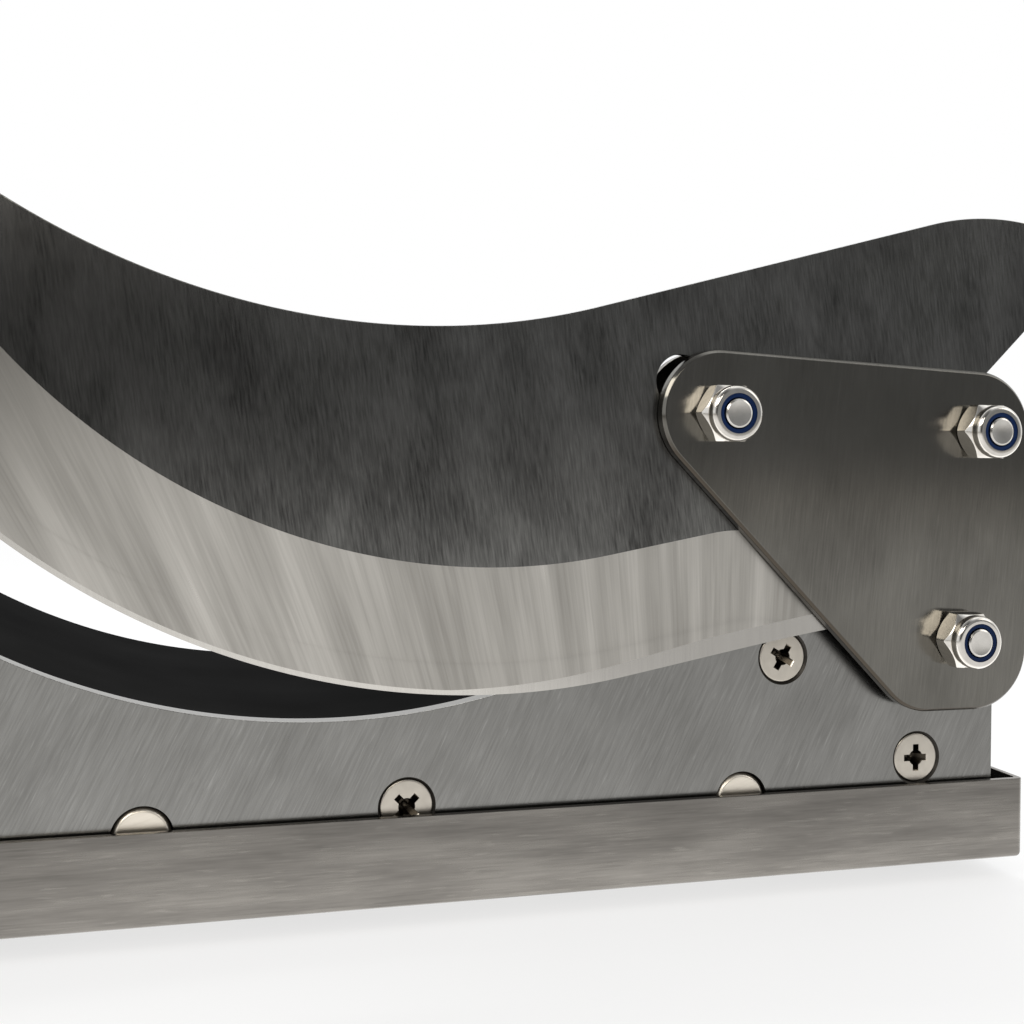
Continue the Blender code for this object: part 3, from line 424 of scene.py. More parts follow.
screw_low, screw_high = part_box("foot_screw_1")
head_base, shank_end = screw_low.z, screw_high.z
pan = [(0, head_base), (0.0030, head_base + 0.00005), (0.0041, head_base + 0.0005), (0.0045, head_base + 0.0011)]
pan += [(0.0045, head_base + 0.002), (0.0024, head_base + 0.002), (0.0024, shank_end - 0.0005), (0, shank_end)]
foot_screw = piece("foot_screw_shape", turned(rounded(pan, 0.0003), 48, True))
carve(foot_screw, cross_drive("foot_cross", head_base, 0.0024, 0.0011, 0.0014, True))
even(foot_screw)
foot_screws = stamped("foot_screws", foot_screw, foot_places, fastener_steel, [0.3, 1.1, 0.8, 0.1], (0, 0, 1))
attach(foot_screws, "base")
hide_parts(*foot_screw_names)


# Feed block
# Black cutting-board plastic, sawn and milled: a trough behind the notch, and a step that clears the hinge.
# The cutter left fine ridges along the trough. The sawn sides are greyer, with level saw marks.
pivot = Vector(frame["joints"][0]["pos_m"])
plate_low, plate_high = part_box("lower_plate")
block_low, block_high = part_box("feed_block")
SHOULDER = plate_high.z
NOTCH_RADIUS = 0.1587
NOTCH_FLOOR = 0.0412
NOTCH_X = pivot.x - 0.1551
TROUGH_DROP = 0.0005
HINGE_CORNER = 0.0154
HINGE_TO_BLOCK = 0.001
hinge_foot = (-0.0088, -0.0030)
closed = radians(8)


def arc(centre, radius, start, end, steps):
    turn = (end - start) / steps
    return [(centre[0] + radius * cos(start + turn * i), centre[1] + radius * sin(start + turn * i))
            for i in range(steps + 1)]


def along(point, direction, distance):
    return (point[0] + direction[0] * distance, point[1] + direction[1] * distance)


def crossings(point, direction, centre, radius):
    back = (point[0] - centre[0], point[1] - centre[1])
    half = back[0] * direction[0] + back[1] * direction[1]
    root = sqrt(half * half - back[0] ** 2 - back[1] ** 2 + radius * radius)
    return -half - root, -half + root


def slab(outline, front, back, rim=0.0, segments=3, corner=0.0, back_rim=True):
    """A plate with its outline in X and Z. corner rounds its upright corners, rim its front and back edges."""
    bm = bmesh.new()
    face = bm.faces.new([bm.verts.new((x, front, z)) for x, z in outline])
    moved = bmesh.ops.extrude_face_region(bm, geom=[face])["geom"]
    verts = [item for item in moved if isinstance(item, bmesh.types.BMVert)]
    bmesh.ops.translate(bm, verts=verts, vec=(0, back - front, 0))
    bmesh.ops.recalc_face_normals(bm, faces=bm.faces)

    def through(e):
        return abs(e.verts[0].co.y - e.verts[1].co.y) > 1e-7

    if corner:
        sharp = [e for e in bm.edges if through(e) and e.calc_face_angle() > radians(24)]
        bevelled(bm, sharp, corner, 8)
    if rim:
        levels = (front, back) if back_rim else (front,)
        rims = [e for e in bm.edges if not through(e) and e.calc_face_angle() > 1
                and min(abs(e.verts[0].co.y - level) for level in levels) < 1e-7]
        bevelled(bm, rims, rim, segments)
    return without_slivers(bm, 1e-5)


def notch(drop, right, steps):
    centre = (NOTCH_X, NOTCH_FLOOR - drop + NOTCH_RADIUS)
    start = -pi / 2 - acos((centre[1] - SHOULDER) / NOTCH_RADIUS)
    end = -pi / 2 + atan2(right - centre[0], sqrt(NOTCH_RADIUS**2 - (right - centre[0]) ** 2))
    return arc(centre, NOTCH_RADIUS, start, end, steps)


def places_of(names):
    """Where the middles of some nodes are in the X-Z plane."""
    return [(box_middle(n).x, box_middle(n).z) for n in names]


def recolour(look, share, tone):
    """Blends the colour that a look has already with another tone."""
    shader = look.node_tree.nodes["Principled BSDF"]
    present = shader.inputs["Base Color"].links[0].from_socket
    feed(shader, {"Base Color": blend(look.node_tree.nodes, share, present, tone)})


left_clamp, right_clamp = [(x - pivot.x, z - pivot.z) for x, z in places_of(["clamp_bolt_1", "clamp_bolt_2"])]
run = (hinge_foot[0] - left_clamp[0], hinge_foot[1] - left_clamp[1])
normal = (run[1] / hypot(*run), -run[0] / hypot(*run))
clear = left_clamp[0] * normal[0] + left_clamp[1] * normal[1] + HINGE_CORNER + HINGE_TO_BLOCK
slope = (normal[0] * cos(closed) - normal[1] * sin(closed), normal[0] * sin(closed) + normal[1] * cos(closed))
on_slope = along((pivot.x, pivot.z), slope, clear)
up_slope = (slope[1], -slope[0])
step = pivot.z - hypot(*hinge_foot) - HINGE_CORNER - HINGE_TO_BLOCK
step_end = along(on_slope, up_slope, (step - on_slope[1]) / up_slope[1])
trough_centre = (NOTCH_X, NOTCH_FLOOR - TROUGH_DROP + NOTCH_RADIUS)
ridge = along(on_slope, up_slope, crossings(on_slope, up_slope, trough_centre, NOTCH_RADIUS)[0])
block_outline = [(block_low.x, SHOULDER), (block_low.x, block_low.z), (block_high.x, block_low.z)]
block_outline += [(block_high.x, step), step_end] + notch(TROUGH_DROP, ridge[0], 120)[::-1]

block_plastic = rubber("block_plastic", (0.008, 0.008, 0.008), 0.6, 900.0, 0.00003)
nodes = block_plastic.node_tree.nodes
spot = node(nodes, "TexCoord").outputs["Object"]
milled = relief(nodes, noise(nodes, spot, (1400, 30, 1400), 2.0), 0.5, 0.00005)
feed(milled.node, {"Normal": nodes["Bump"].outputs[0]})
feed(nodes["Principled BSDF"], {"Normal": milled, "Specular IOR Level": 0.0})
surface = node(nodes, "NewGeometry").outputs["Normal"]
facing = axes(nodes, node(nodes, "VectorMath", {0: surface}, operation="ABSOLUTE").outputs[0])
sawn = span(nodes, maths(nodes, "MAXIMUM", facing["X"], facing["Y"]), 0.85, 0.97)
saw_marks = span(nodes, noise(nodes, spot, (25, 25, 1300), 4.0), 0.3, 0.7)
recolour(block_plastic, sawn, blend(nodes, saw_marks, (0.013, 0.013, 0.014), (0.042, 0.042, 0.043)))
block = piece("block", slab(block_outline, block_low.y, block_high.y, 0.001, 4, 0.003), block_plastic)
even(block)
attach(block, "base")
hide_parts("feed_block")


# Lower plate
# The fixed half of the shear: a stainless plate with a round notch, brushed on a slant before it was cut out.
# Its countersunk holes take the screws, two reamed holes take the pins, and one takes the pivot bolt.
BOLT_HOLE = 0.0042
SCREW_HOLE = 0.0033
SINK_RADIUS = 0.00695
PIN_HOLE = 0.0066
WIDEST_HOLE = 0.0072
face, rear = plate_low.y, plate_high.y
plate_screw_names = [f"plate_screw_{i + 1}" for i in range(5)]
pin_names = ["locating_pin_1", "locating_pin_2"]
screw_places, pin_places = places_of(plate_screw_names), places_of(pin_names)
half_notch = sqrt(NOTCH_RADIUS**2 - (NOTCH_FLOOR + NOTCH_RADIUS - SHOULDER) ** 2)
plate_outline = [(plate_low.x, SHOULDER), (plate_low.x, plate_low.z), (plate_high.x, plate_low.z)]
plate_outline += [(plate_high.x, SHOULDER)] + notch(0, NOTCH_X + half_notch, 160)[::-1]
plate_steel = steel("plate_steel", (0.16, 0.156, 0.146), (0.33, 0.325, 0.31), lay=radians(64), run=120,
                    spread=0.4, strokes=0.8, scratches=0.3, blotches=0.6, clouds=(70.0, 45.0))
# The near-black bore material is painted shade for the walls of the holes.
bore_steel = steel("bore_steel", (0.012, 0.011, 0.010), (0.06, 0.055, 0.048), roughness=0.4)
plate = piece("plate", slab(plate_outline, face, rear, 0.00015, 2, 0.003), plate_steel)


def drill(name, profile, place, steps=64):
    """A turned cutter set at a place of the X-Z plane."""
    bm = turned(profile, steps)
    bmesh.ops.translate(bm, verts=bm.verts, vec=(place[0], 0, place[1]))
    return piece(name, bm)


def straight(radius, front, back):
    return [(0, front - 0.001), (radius, front - 0.001), (radius, back + 0.001), (0, back + 0.001)]


sink = [(0, face - 0.0003), (SINK_RADIUS, face - 0.0003), (SCREW_HOLE, face + 0.00335), (SCREW_HOLE, rear + 0.001)]
sink.append((0, rear + 0.001))
ream = [(0, face - 0.001), (PIN_HOLE + 0.0011, face - 0.001), (PIN_HOLE, face + 0.0001), (PIN_HOLE, rear + 0.001)]
ream.append((0, rear + 0.001))
cutters = [drill(f"sink_{n}", sink, p) for n, p in zip(plate_screw_names, screw_places)]
cutters += [drill(f"ream_{i}", ream, p) for i, p in enumerate(pin_places)]
cutters.append(drill("pivot_drill", straight(BOLT_HOLE, face, rear), (pivot.x, pivot.z)))
carve(plate, cutters)
# Painted shade: the faces inside the countersinks and pin holes, between the plate's faces, take the near-black bore
# material.
plate.data.materials.append(bore_steel)
for polygon in plate.data.polygons:
    spot = polygon.center
    inside = any(hypot(spot.x - x, spot.z - z) < WIDEST_HOLE for x, z in screw_places + pin_places)
    if inside and face + 0.00002 < spot.y < rear - 0.00002:
        polygon.material_index = 1
even(plate)
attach(plate, "base")
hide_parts("lower_plate")


# Locating pins
# Ground steel dowels pressed into the block through the plate, which take the thrust of the cut.
# Only their chamfered ends show, as plain discs a hair below the plate's face.
PIN_CHAMFER = 0.0008
pin_low, pin_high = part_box("locating_pin_1")
pin_radius = (pin_high.x - pin_low.x) / 2
pin_end = pin_radius - PIN_CHAMFER
pin_profile = [(0, pin_low.y), (pin_end, pin_low.y), (pin_radius, pin_low.y + PIN_CHAMFER)]
pin_profile += [(pin_radius, pin_high.y - PIN_CHAMFER), (pin_end, pin_high.y), (0, pin_high.y)]
pin_steel = steel("pin_steel", (0.74, 0.68, 0.58), (0.93, 0.86, 0.75), lay=radians(20), run=160, roughness=0.36,
                  spread=0.1)
pin = piece("pin_shape", turned(rounded(pin_profile, 0.00025), 80))
even(pin)


def on_axis(places):
    """Turns places of the X-Z plane into points, for parts that are turned about Y."""
    return [(x, 0, z) for x, z in places]


pins = stamped("pins", pin, on_axis(pin_places), pin_steel, [0.0, 1.4])
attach(pins, "base")
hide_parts(*pin_names)


# Plate screws
# Countersunk stainless machine screws with a cross recess, turned home until their heads are flush.
# Each stopped at its own angle, and their recesses are darkened with painted shade.
SHANK_RADIUS = 0.003
HEAD_RIM = 0.0005
screw_low, screw_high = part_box("plate_screw_1")
head_radius = (screw_high.x - screw_low.x) / 2
flat = screw_low.y
cone_end = flat + HEAD_RIM + head_radius - SHANK_RADIUS
screw_profile = [(0, flat), (head_radius * 0.5, flat + 0.00003), (head_radius - 0.0004, flat + 0.00012)]
screw_profile += [(head_radius, flat + HEAD_RIM), (SHANK_RADIUS, cone_end)]
screw_profile += [(SHANK_RADIUS, screw_high.y - 0.0003), (0, screw_high.y)]
screw = piece("screw_shape", turned(rounded(screw_profile, 0.0002, 2), 80))
carve(screw, cross_drive("plate_cross", flat, 0.0036, 0.0017, 0.0026))
point = [(0, flat - 0.0004), (0.0021, flat - 0.0004), (0.0012, flat + 0.0022), (0, flat + 0.0034)]
carve(screw, [piece("cross_middle", turned(point, 32))])
even(screw)
screw_steel = bright("screw_steel", (0.66, 0.61, 0.53), 0.24)
nodes = screw_steel.node_tree.nodes
inward = axes(nodes, node(nodes, "TexCoord").outputs["Object"])["Y"]
# Painted shade: deeper than the head's face along Y, the colour turns near black, so the cross recess reads dark.
recolour(screw_steel, span(nodes, inward, flat + 0.00014, flat + 0.0004), (0.05, 0.042, 0.032))
plate_screws = stamped("plate_screws", screw, on_axis(screw_places), screw_steel, [0.0, 0.55, 0.78, 0.2, 0.9])
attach(plate_screws, "base")
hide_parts(*plate_screw_names)


# Hinge plates
# Two like plates of 3 mm stainless, brushed across, with a narrow chamfer round their outer faces and painted shade
# on their lower edges. They are filed back a little from the solids, and their lower left corner lies further in.
CHAMFER = 0.0007
FILED = 0.0005
LEAN = 0.0008


def hull(centres, radius, steps):
    """The outline round equal circles, whose centres are given anticlockwise."""
    outline = []
    for i, centre in enumerate(centres):
        before, after = centres[i - 1], centres[(i + 1) % len(centres)]
        start = atan2(centre[1] - before[1], centre[0] - before[0]) - pi / 2
        end = atan2(after[1] - centre[1], after[0] - centre[0]) - pi / 2
        while end < start:
            end += 2 * pi
        outline += arc(centre, radius, start, end, steps)
    return outline


def faces_of(name):
    """Where a node's front and back lie along Y."""
    low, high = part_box(name)
    return low.y, high.y


def from_pivot(points):
    return [(pivot.x + x, pivot.z + z) for x, z in points]


bolt_places = from_pivot([(0, 0), left_clamp, right_clamp])
lower_corners = [(hinge_foot[0] + LEAN, hinge_foot[1]), (right_clamp[0], hinge_foot[1])]
hinge_outline = hull(from_pivot(lower_corners + [right_clamp, left_clamp]), HINGE_CORNER - FILED, 28)
hinge_steel = steel("hinge_steel", (0.092, 0.088, 0.078), (0.25, 0.239, 0.215), lay=radians(84), run=110,
                    roughness=0.17, spread=0.75, strokes=0.5, scratches=0.1, blotches=0.7,
                    downward_shade=(0.062, 0.053, 0.042))
for name, node_name in (("front_hinge", "front_hinge_plate"), ("rear_hinge", "rear_hinge_plate")):
    front, back = faces_of(node_name)
    outer, inner = (front, back) if name == "front_hinge" else (back, front)
    hinge = piece(name, slab(hinge_outline, outer, inner, CHAMFER, 1, back_rim=False), hinge_steel)
    hole = straight(BOLT_HOLE, front, back)
    carve(hinge, [drill(f"{name}_hole_{i}", hole, p) for i, p in enumerate(bolt_places)])
    break_edges(hinge, 0.00015, 35)
    even(hinge)
    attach(hinge, "arm")
    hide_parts(node_name)


# Bushes, spacer and washers
# Turned rings that hold the two hinge plates apart: two shouldered bushes clamp the blade,
# a plain ring rides on the pivot, and a washer sits under each bolt head at the back.
GAP = 0.0003
NECK_RADIUS = 0.006
BUSH_RADIUS = 0.009
WASHER_RADIUS = 0.008
WASHER_CHAMFER = 0.0003


def ring_set(name, profile, places, finish, steps=64):
    """Like parts turned about Y, one at each place of the X-Z plane."""
    return stamped(name, piece(f"{name}_shape", turned(profile, steps)), on_axis(places), finish)


front, back = faces_of("clamp_bush_1")
shoulder = faces_of("blade")[1] + GAP
bush = [(BOLT_HOLE, front), (NECK_RADIUS, front), (NECK_RADIUS, shoulder), (BUSH_RADIUS, shoulder)]
bush += [(BUSH_RADIUS, back), (BOLT_HOLE, back)]
bushes = ring_set("bushes", bush, bolt_places[1:], fastener_steel)
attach(bushes, "arm")
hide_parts("clamp_bush_1", "clamp_bush_2")

front, back = faces_of("pivot_spacer")
ring = [(BOLT_HOLE, front), (BUSH_RADIUS, front), (BUSH_RADIUS, back), (BOLT_HOLE, back)]
spacer = ring_set("spacer", ring, bolt_places[:1], fastener_steel)
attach(spacer, "arm")
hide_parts("pivot_spacer")

front, back = faces_of("rear_washer_1")
washer_end = WASHER_RADIUS - WASHER_CHAMFER
washer = [(BOLT_HOLE, front), (washer_end, front), (WASHER_RADIUS, front + WASHER_CHAMFER)]
washer += [(WASHER_RADIUS, back - WASHER_CHAMFER), (washer_end, back), (BOLT_HOLE, back)]
washers = ring_set("washers", washer, bolt_places, fastener_steel)
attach(washers, "arm")
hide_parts("rear_washer_1", "rear_washer_2", "rear_washer_3")


# Hinge bolts
# M8 hexagon bolts put in from behind. The head's corners are turned off, and the rolled thread fills the lock
# nut. Rolling left the bolt's end a little hollow, and it stops level with the nut's collar.
HEX_FLATS = 0.013
HEX_BREAK = 0.0063
WORN = 0.0001
HEAD = 0.0053
PITCH = 0.00125
CORE_RADIUS = 0.00345
OUTER_RADIUS = 0.0039


def hex_turned(profile_at, ring=False):
    """A part turned about Y. Its points depend on how far the hexagon reaches at each angle."""
    bm = bmesh.new()
    rows = []
    for k in range(6):
        for degrees in (0.9, *range(5, 60, 5), 59.1):
            reach = HEX_FLATS / 2 / cos(radians(degrees - 30))
            turn = radians(60 * k + degrees)
            rows.append([bm.verts.new((r * cos(turn), y, r * sin(turn))) for r, y in profile_at(reach)])
    for row, after in zip(rows, rows[1:] + rows[:1]):
        for i in range(0 if ring else 1, len(row)):
            bm.faces.new((row[i - 1], row[i], after[i], after[i - 1]))
    bmesh.ops.remove_doubles(bm, verts=bm.verts, dist=2e-6)
    bmesh.ops.recalc_face_normals(bm, faces=bm.faces)
    return bm


def hex_rim(reach, front, back, front_break, rise):
    """The hexagon's side, with its corners turned off towards both faces and its edges a little worn."""
    inner = reach - WORN
    return [(front_break, front), (inner, front + (inner - front_break) * rise),
            (reach, front + (reach - front_break) * rise + WORN),
            (reach, back - (reach - HEX_BREAK) * rise - WORN),
            (inner, back - (inner - HEX_BREAK) * rise), (HEX_BREAK, back)]


# The thread is a ridge wound round a shank along Y.
thread_inputs = {"Shank": "Geometry", "Finish": "Material"}
thread_inputs.update(dict.fromkeys(("Pitch", "Ridge radius", "Ridge height", "Turns", "Start"), "Float"))
thread, thread_keys, nodes, given = planned_tree("rolled_thread", thread_inputs, "Thread")
sockets = {"Resolution": 40, "Rotations": given["Turns"], "Start Radius": given["Ridge radius"]}
sockets["End Radius"] = given["Ridge radius"]
sockets["Height"] = maths(nodes, "MULTIPLY", given["Pitch"], given["Turns"])
coil = node(nodes, "GeometryNodeCurveSpiral", sockets)
upright = node(nodes, "GeometryNodeSetCurveNormal", {"Curve": coil.outputs[0]}, mode="Z_UP")
section = node(nodes, "GeometryNodeCurvePrimitiveCircle", {"Resolution": 6, "Radius": given["Ridge height"]})
swept = {"Curve": upright.outputs[0], "Profile Curve": section.outputs["Curve"], "Fill Caps": True}
ridge_mesh = node(nodes, "GeometryNodeCurveToMesh", swept)
start = node(nodes, "CombineXYZ", {"Y": given["Start"]})
sockets = {"Geometry": ridge_mesh.outputs[0], "Translation": start.outputs[0], "Rotation": (-pi / 2, 0, 0)}
joined = node(nodes, "GeometryNodeJoinGeometry", {0: node(nodes, "GeometryNodeTransform", sockets).outputs[0]})
feed(joined, {0: given["Shank"]})
finished_tree(nodes, joined, given["Finish"], "Thread")

tip, head_back = faces_of("pivot_bolt")
head_face = head_back - HEAD
shank = [(0, tip + 0.0002), (0.0020, tip + 0.0001), (0.0029, tip), (0.0033, tip + 0.0002), (0.0034, tip + 0.0011)]
shank += [(OUTER_RADIUS, tip + 0.0015), (OUTER_RADIUS, tip + 0.0024), (CORE_RADIUS, tip + 0.0027)]
shank += [(CORE_RADIUS, tip + 0.012), (OUTER_RADIUS, tip + 0.0125), (OUTER_RADIUS, head_face)]


def bolt_profile(reach):
    return shank + hex_rim(reach, head_face, head_back, reach - WORN, 0.55) + [(0, head_back)]


bolt = piece("bolt_shape", hex_turned(bolt_profile))
winding = {"Pitch": PITCH, "Ridge radius": 0.00342, "Ridge height": 0.00046, "Turns": 7.0, "Start": tip + 0.0028}
made_by(bolt, thread, thread_keys, {**winding, "Finish": fastener_steel})
even(bolt)
bolts = stamped("bolts", bolt, on_axis(bolt_places), fastener_steel)
cut_end_steel = bright("cut_end_steel", (0.88, 0.84, 0.77), 0.38)
feed(cut_end_steel.node_tree.nodes["Principled BSDF"], {"Metallic": 0.72})
bolts.data.materials.append(cut_end_steel)
for polygon in bolts.data.polygons:
    if polygon.center.y < tip + 0.00015 and polygon.normal.y < -0.9:
        polygon.material_index = 1
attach(bolts, "arm")
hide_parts("pivot_bolt", "clamp_bolt_1", "clamp_bolt_2")


# Lock nuts and their nylon rings
# Polished M8 lock nuts: a chamfered hexagon, and a collar rolled in over a ring of dark blue nylon.
# The ring grips the bolt, which is what keeps the arm where it is left.
COLLAR = 0.0064
COLLAR_HEIGHT = 0.0052
ROLL = 0.0012
MOUTH = 0.0050
LIP = 0.0046
nut_end, nut_face = faces_of("pivot_nut")
front, back = faces_of("pivot_insert")
seam = nut_face - COLLAR_HEIGHT
seat = back + GAP
collar = [(BOLT_HOLE, nut_face), (BOLT_HOLE, seat), (MOUTH, seat), (MOUTH, nut_end + 0.00016)]
collar += [(LIP, nut_end + 0.0001), (LIP, nut_end)]
collar += [(COLLAR - ROLL + ROLL * sin(pi / 2 * i / 10), nut_end + ROLL - ROLL * cos(pi / 2 * i / 10))
           for i in range(11)]
collar += [(COLLAR, seam - 0.0004), (COLLAR - 0.0002, seam)]
nut = piece("nut_shape", hex_turned(lambda reach: collar + hex_rim(reach, seam, nut_face, HEX_BREAK, 1.0), True))
even(nut)
nut_steel = bright("nut_steel", (0.84, 0.80, 0.74), 0.07)
nuts = stamped("nuts", nut, on_axis(bolt_places), nut_steel)
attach(nuts, "arm")
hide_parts("pivot_nut", "clamp_nut_1", "clamp_nut_2")

insert_nylon = rubber("insert_nylon", (0.0001, 0.007, 0.034), 0.5, 1200.0, 0.00002)
feed(insert_nylon.node_tree.nodes["Principled BSDF"], {"Specular IOR Level": 0.15})
nylon = [(0.0041, back), (0.0041, front + 0.0009), (0.0036, front + 0.0006), (0.0036, front + 0.0001)]
nylon += [(0.0037, front), (0.0046, front), (0.0048, front + 0.0002), (0.0048, back)]
rings = ring_set("nylon_rings", nylon, bolt_places, insert_nylon)
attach(rings, "arm")
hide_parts("pivot_insert", "clamp_insert_1", "clamp_insert_2")


# Blade
# 3 mm stainless cut to a sweeping curve, with a slot and an eye for the clamp bolts and a full tang.
# Its front was ground back in one wide bevel that runs out at both ends, then honed to a second narrow one.
blade_front, blade_back = faces_of("blade")
THICK = blade_back - blade_front
EDGE_RADIUS = 0.1755
edge_centre = (-0.1185, -0.0108 + EDGE_RADIUS)
EDGE_RISE = radians(10.8)
EDGE_END = -0.030
SPINE_RADIUS = 0.170
spine_centre = (-0.1395, 0.0718 + SPINE_RADIUS)
SPINE_RISE = radians(15.3)
SPINE_RUN = 0.0915
GRIP_ANGLE = radians(35)
GRIP_START = 0.044
GRIP_LENGTH = 0.122
GRIP_DEPTH = 0.031
CROWN_RADIUS = 0.0688
TAIL_TIP = 0.012
TAIL_CUT = radians(44.5)
FILLET = 0.0015
EYE = 0.0115
BEVEL_WIDTH = 0.029
RUN_OUT = 0.030
STATIONS = 220
BUSH_HOLE = 0.0063
RIVET_HOLE = 0.0043
FIRST_RIVET = 0.020
SLOT_LENGTH = 0.0116

spine = arc(spine_centre, SPINE_RADIUS, -pi / 2 + SPINE_RISE, -pi / 2 - GRIP_ANGLE, 110)
up_back = (-cos(GRIP_ANGLE), sin(GRIP_ANGLE))
downward = (-sin(GRIP_ANGLE), -cos(GRIP_ANGLE))


def grip_point(distance, depth):
    return along(along(spine[-1], up_back, distance), downward, depth)


def grip_sides(share):
    swell = 0.003 * sin(pi * share)
    return -0.6 * swell, GRIP_DEPTH + swell + 0.006 * share**8


def grip_outline(steps):
    shares = [i / steps for i in range(steps + 1)]
    upper = [grip_point(GRIP_START + GRIP_LENGTH * t, grip_sides(t)[0]) for t in shares]
    lower = [grip_point(GRIP_START + GRIP_LENGTH * t, grip_sides(t)[1]) for t in reversed(shares)]
    top, bottom = grip_sides(1.0)
    middle, half = (top + bottom) / 2, (bottom - top) / 2
    pommel = [grip_point(GRIP_START + GRIP_LENGTH + 0.55 * half * sin(pi * i / 36), middle - half * cos(pi * i / 36))
              for i in range(1, 36)]
    return upper + pommel + lower


turn_point = along(edge_centre, (sin(EDGE_RISE), -cos(EDGE_RISE)), EDGE_RADIUS)
edge_way = (cos(EDGE_RISE), sin(EDGE_RISE))
edge_end = along(turn_point, edge_way, (EDGE_END - turn_point[0]) / cos(EDGE_RISE))
run_end = along(spine[0], (cos(SPINE_RISE), sin(SPINE_RISE)), SPINE_RUN)
crown = along(run_end, (sin(SPINE_RISE), -cos(SPINE_RISE)), CROWN_RADIUS)
crown_start = pi / 2 + SPINE_RISE - radians(23.1)
tail_tip = along(crown, (cos(crown_start), sin(crown_start)), CROWN_RADIUS - TAIL_TIP)
cut_side = (sin(TAIL_CUT), -cos(TAIL_CUT))
cut_way = (-cos(TAIL_CUT), -sin(TAIL_CUT))
beside_cut = along(tail_tip, cut_side, TAIL_TIP + FILLET)
fillet = along(beside_cut, cut_way, crossings(beside_cut, cut_way, right_clamp, EYE + FILLET)[0])
to_fillet = atan2(fillet[1] - right_clamp[1], fillet[0] - right_clamp[0])
to_eye = atan2(right_clamp[1] - edge_end[1], right_clamp[0] - edge_end[0])
eye_distance = hypot(right_clamp[0] - edge_end[0], right_clamp[1] - edge_end[1])
eye_start = to_eye - acos(sqrt(1 - (EYE / eye_distance) ** 2)) - pi / 2
tail = arc(right_clamp, EYE, eye_start, to_fillet, 60)
tail += arc(fillet, FILLET, to_fillet + pi, pi / 2 + TAIL_CUT, 10)[1:]
tail += arc(tail_tip, TAIL_TIP, TAIL_CUT - pi / 2, crown_start, 48)
tail += arc(crown, CROWN_RADIUS, crown_start, pi / 2 + SPINE_RISE, 40)[1:]

heel_line = grip_point(0, GRIP_DEPTH)
heel = along(heel_line, up_back, crossings(heel_line, up_back, edge_centre, EDGE_RADIUS)[1])
heel_angle = atan2(heel[1] - edge_centre[1], heel[0] - edge_centre[0])
heel_angle -= 2 * pi if heel_angle > 0 else 0
arc_length = EDGE_RADIUS * (-pi / 2 + EDGE_RISE - heel_angle)
edge_length = arc_length + (EDGE_END - turn_point[0]) / cos(EDGE_RISE)


def edge_station(i):
    """Edge point, the way into the blade, distance to the nearer end, and share of the length behind."""
    distance = edge_length * (1 - cos(pi * i / STATIONS)) / 2
    if distance < arc_length:
        angle = heel_angle + distance / EDGE_RADIUS
        spot_on_edge = along(edge_centre, (cos(angle), sin(angle)), EDGE_RADIUS)
        inward = (-cos(angle), -sin(angle))
    else:
        spot_on_edge = along(turn_point, edge_way, distance - arc_length)
        inward = (-edge_way[1], edge_way[0])
    return spot_on_edge, inward, min(distance, edge_length - distance), distance / edge_length


def blade_mesh():
    """Body, primary bevel and second bevel take the first, second and third material."""
    bm = bmesh.new()

    def put(point_xz, y):
        return bm.verts.new((pivot.x + point_xz[0], y, pivot.z + point_xz[1]))

    edge, middle, grind, back = [], [], [], []
    for i in range(STATIONS + 1):
        on_edge, inward, distance, behind = edge_station(i)
        back.append(put(on_edge, blade_back))
        if i in (0, STATIONS):
            edge.append(put(on_edge, blade_front))
            middle.append(edge[-1])
            grind.append(edge[-1])
            continue
        fullness = sqrt(1 - max(0.0, 1 - distance / RUN_OUT) ** 2)
        width = BEVEL_WIDTH * fullness
        narrow = 0.0012 + 0.0033 * min(1.0, max(0.0, (behind - 0.66) / 0.22))
        narrow = min(narrow, width / 2)
        edge.append(put(on_edge, blade_front + (THICK - 0.0004) * fullness))
        middle_depth = (THICK - 0.0010) * fullness * (1 - narrow / width)
        middle.append(put(along(on_edge, inward, narrow), blade_front + middle_depth))
        grind.append(put(along(on_edge, inward, width), blade_front))
    rest = tail + spine + grip_outline(48)
    rest_front = [put(p, blade_front) for p in rest]
    rest_back = [put(p, blade_back) for p in rest]
    for i in range(STATIONS):
        for low, high, look in ((edge, middle, 2), (middle, grind, 1)):
            ring_verts = (low[i], low[i + 1], high[i + 1], high[i])
            kept = [v for k, v in enumerate(ring_verts) if v is not ring_verts[k - 1]]
            if len(kept) > 2:
                bm.faces.new(kept).material_index = look
    front_rim, back_rim = edge + rest_front, back + rest_back
    for i, v in enumerate(front_rim):
        after = (i + 1) % len(front_rim)
        bm.faces.new((v, front_rim[after], back_rim[after], back_rim[i]))
    bm.faces.new(grind + rest_front)
    bm.faces.new(back_rim)
    bmesh.ops.recalc_face_normals(bm, faces=bm.faces)
    unground = set(rest_front) | set(rest_back)
    rims = [e for e in bm.edges if e.calc_face_angle() > 1 and unground.issuperset(e.verts)
            and abs(e.verts[0].co.y - e.verts[1].co.y) < 1e-7]
    bevelled(bm, rims, 0.00025, 2)
    return bm


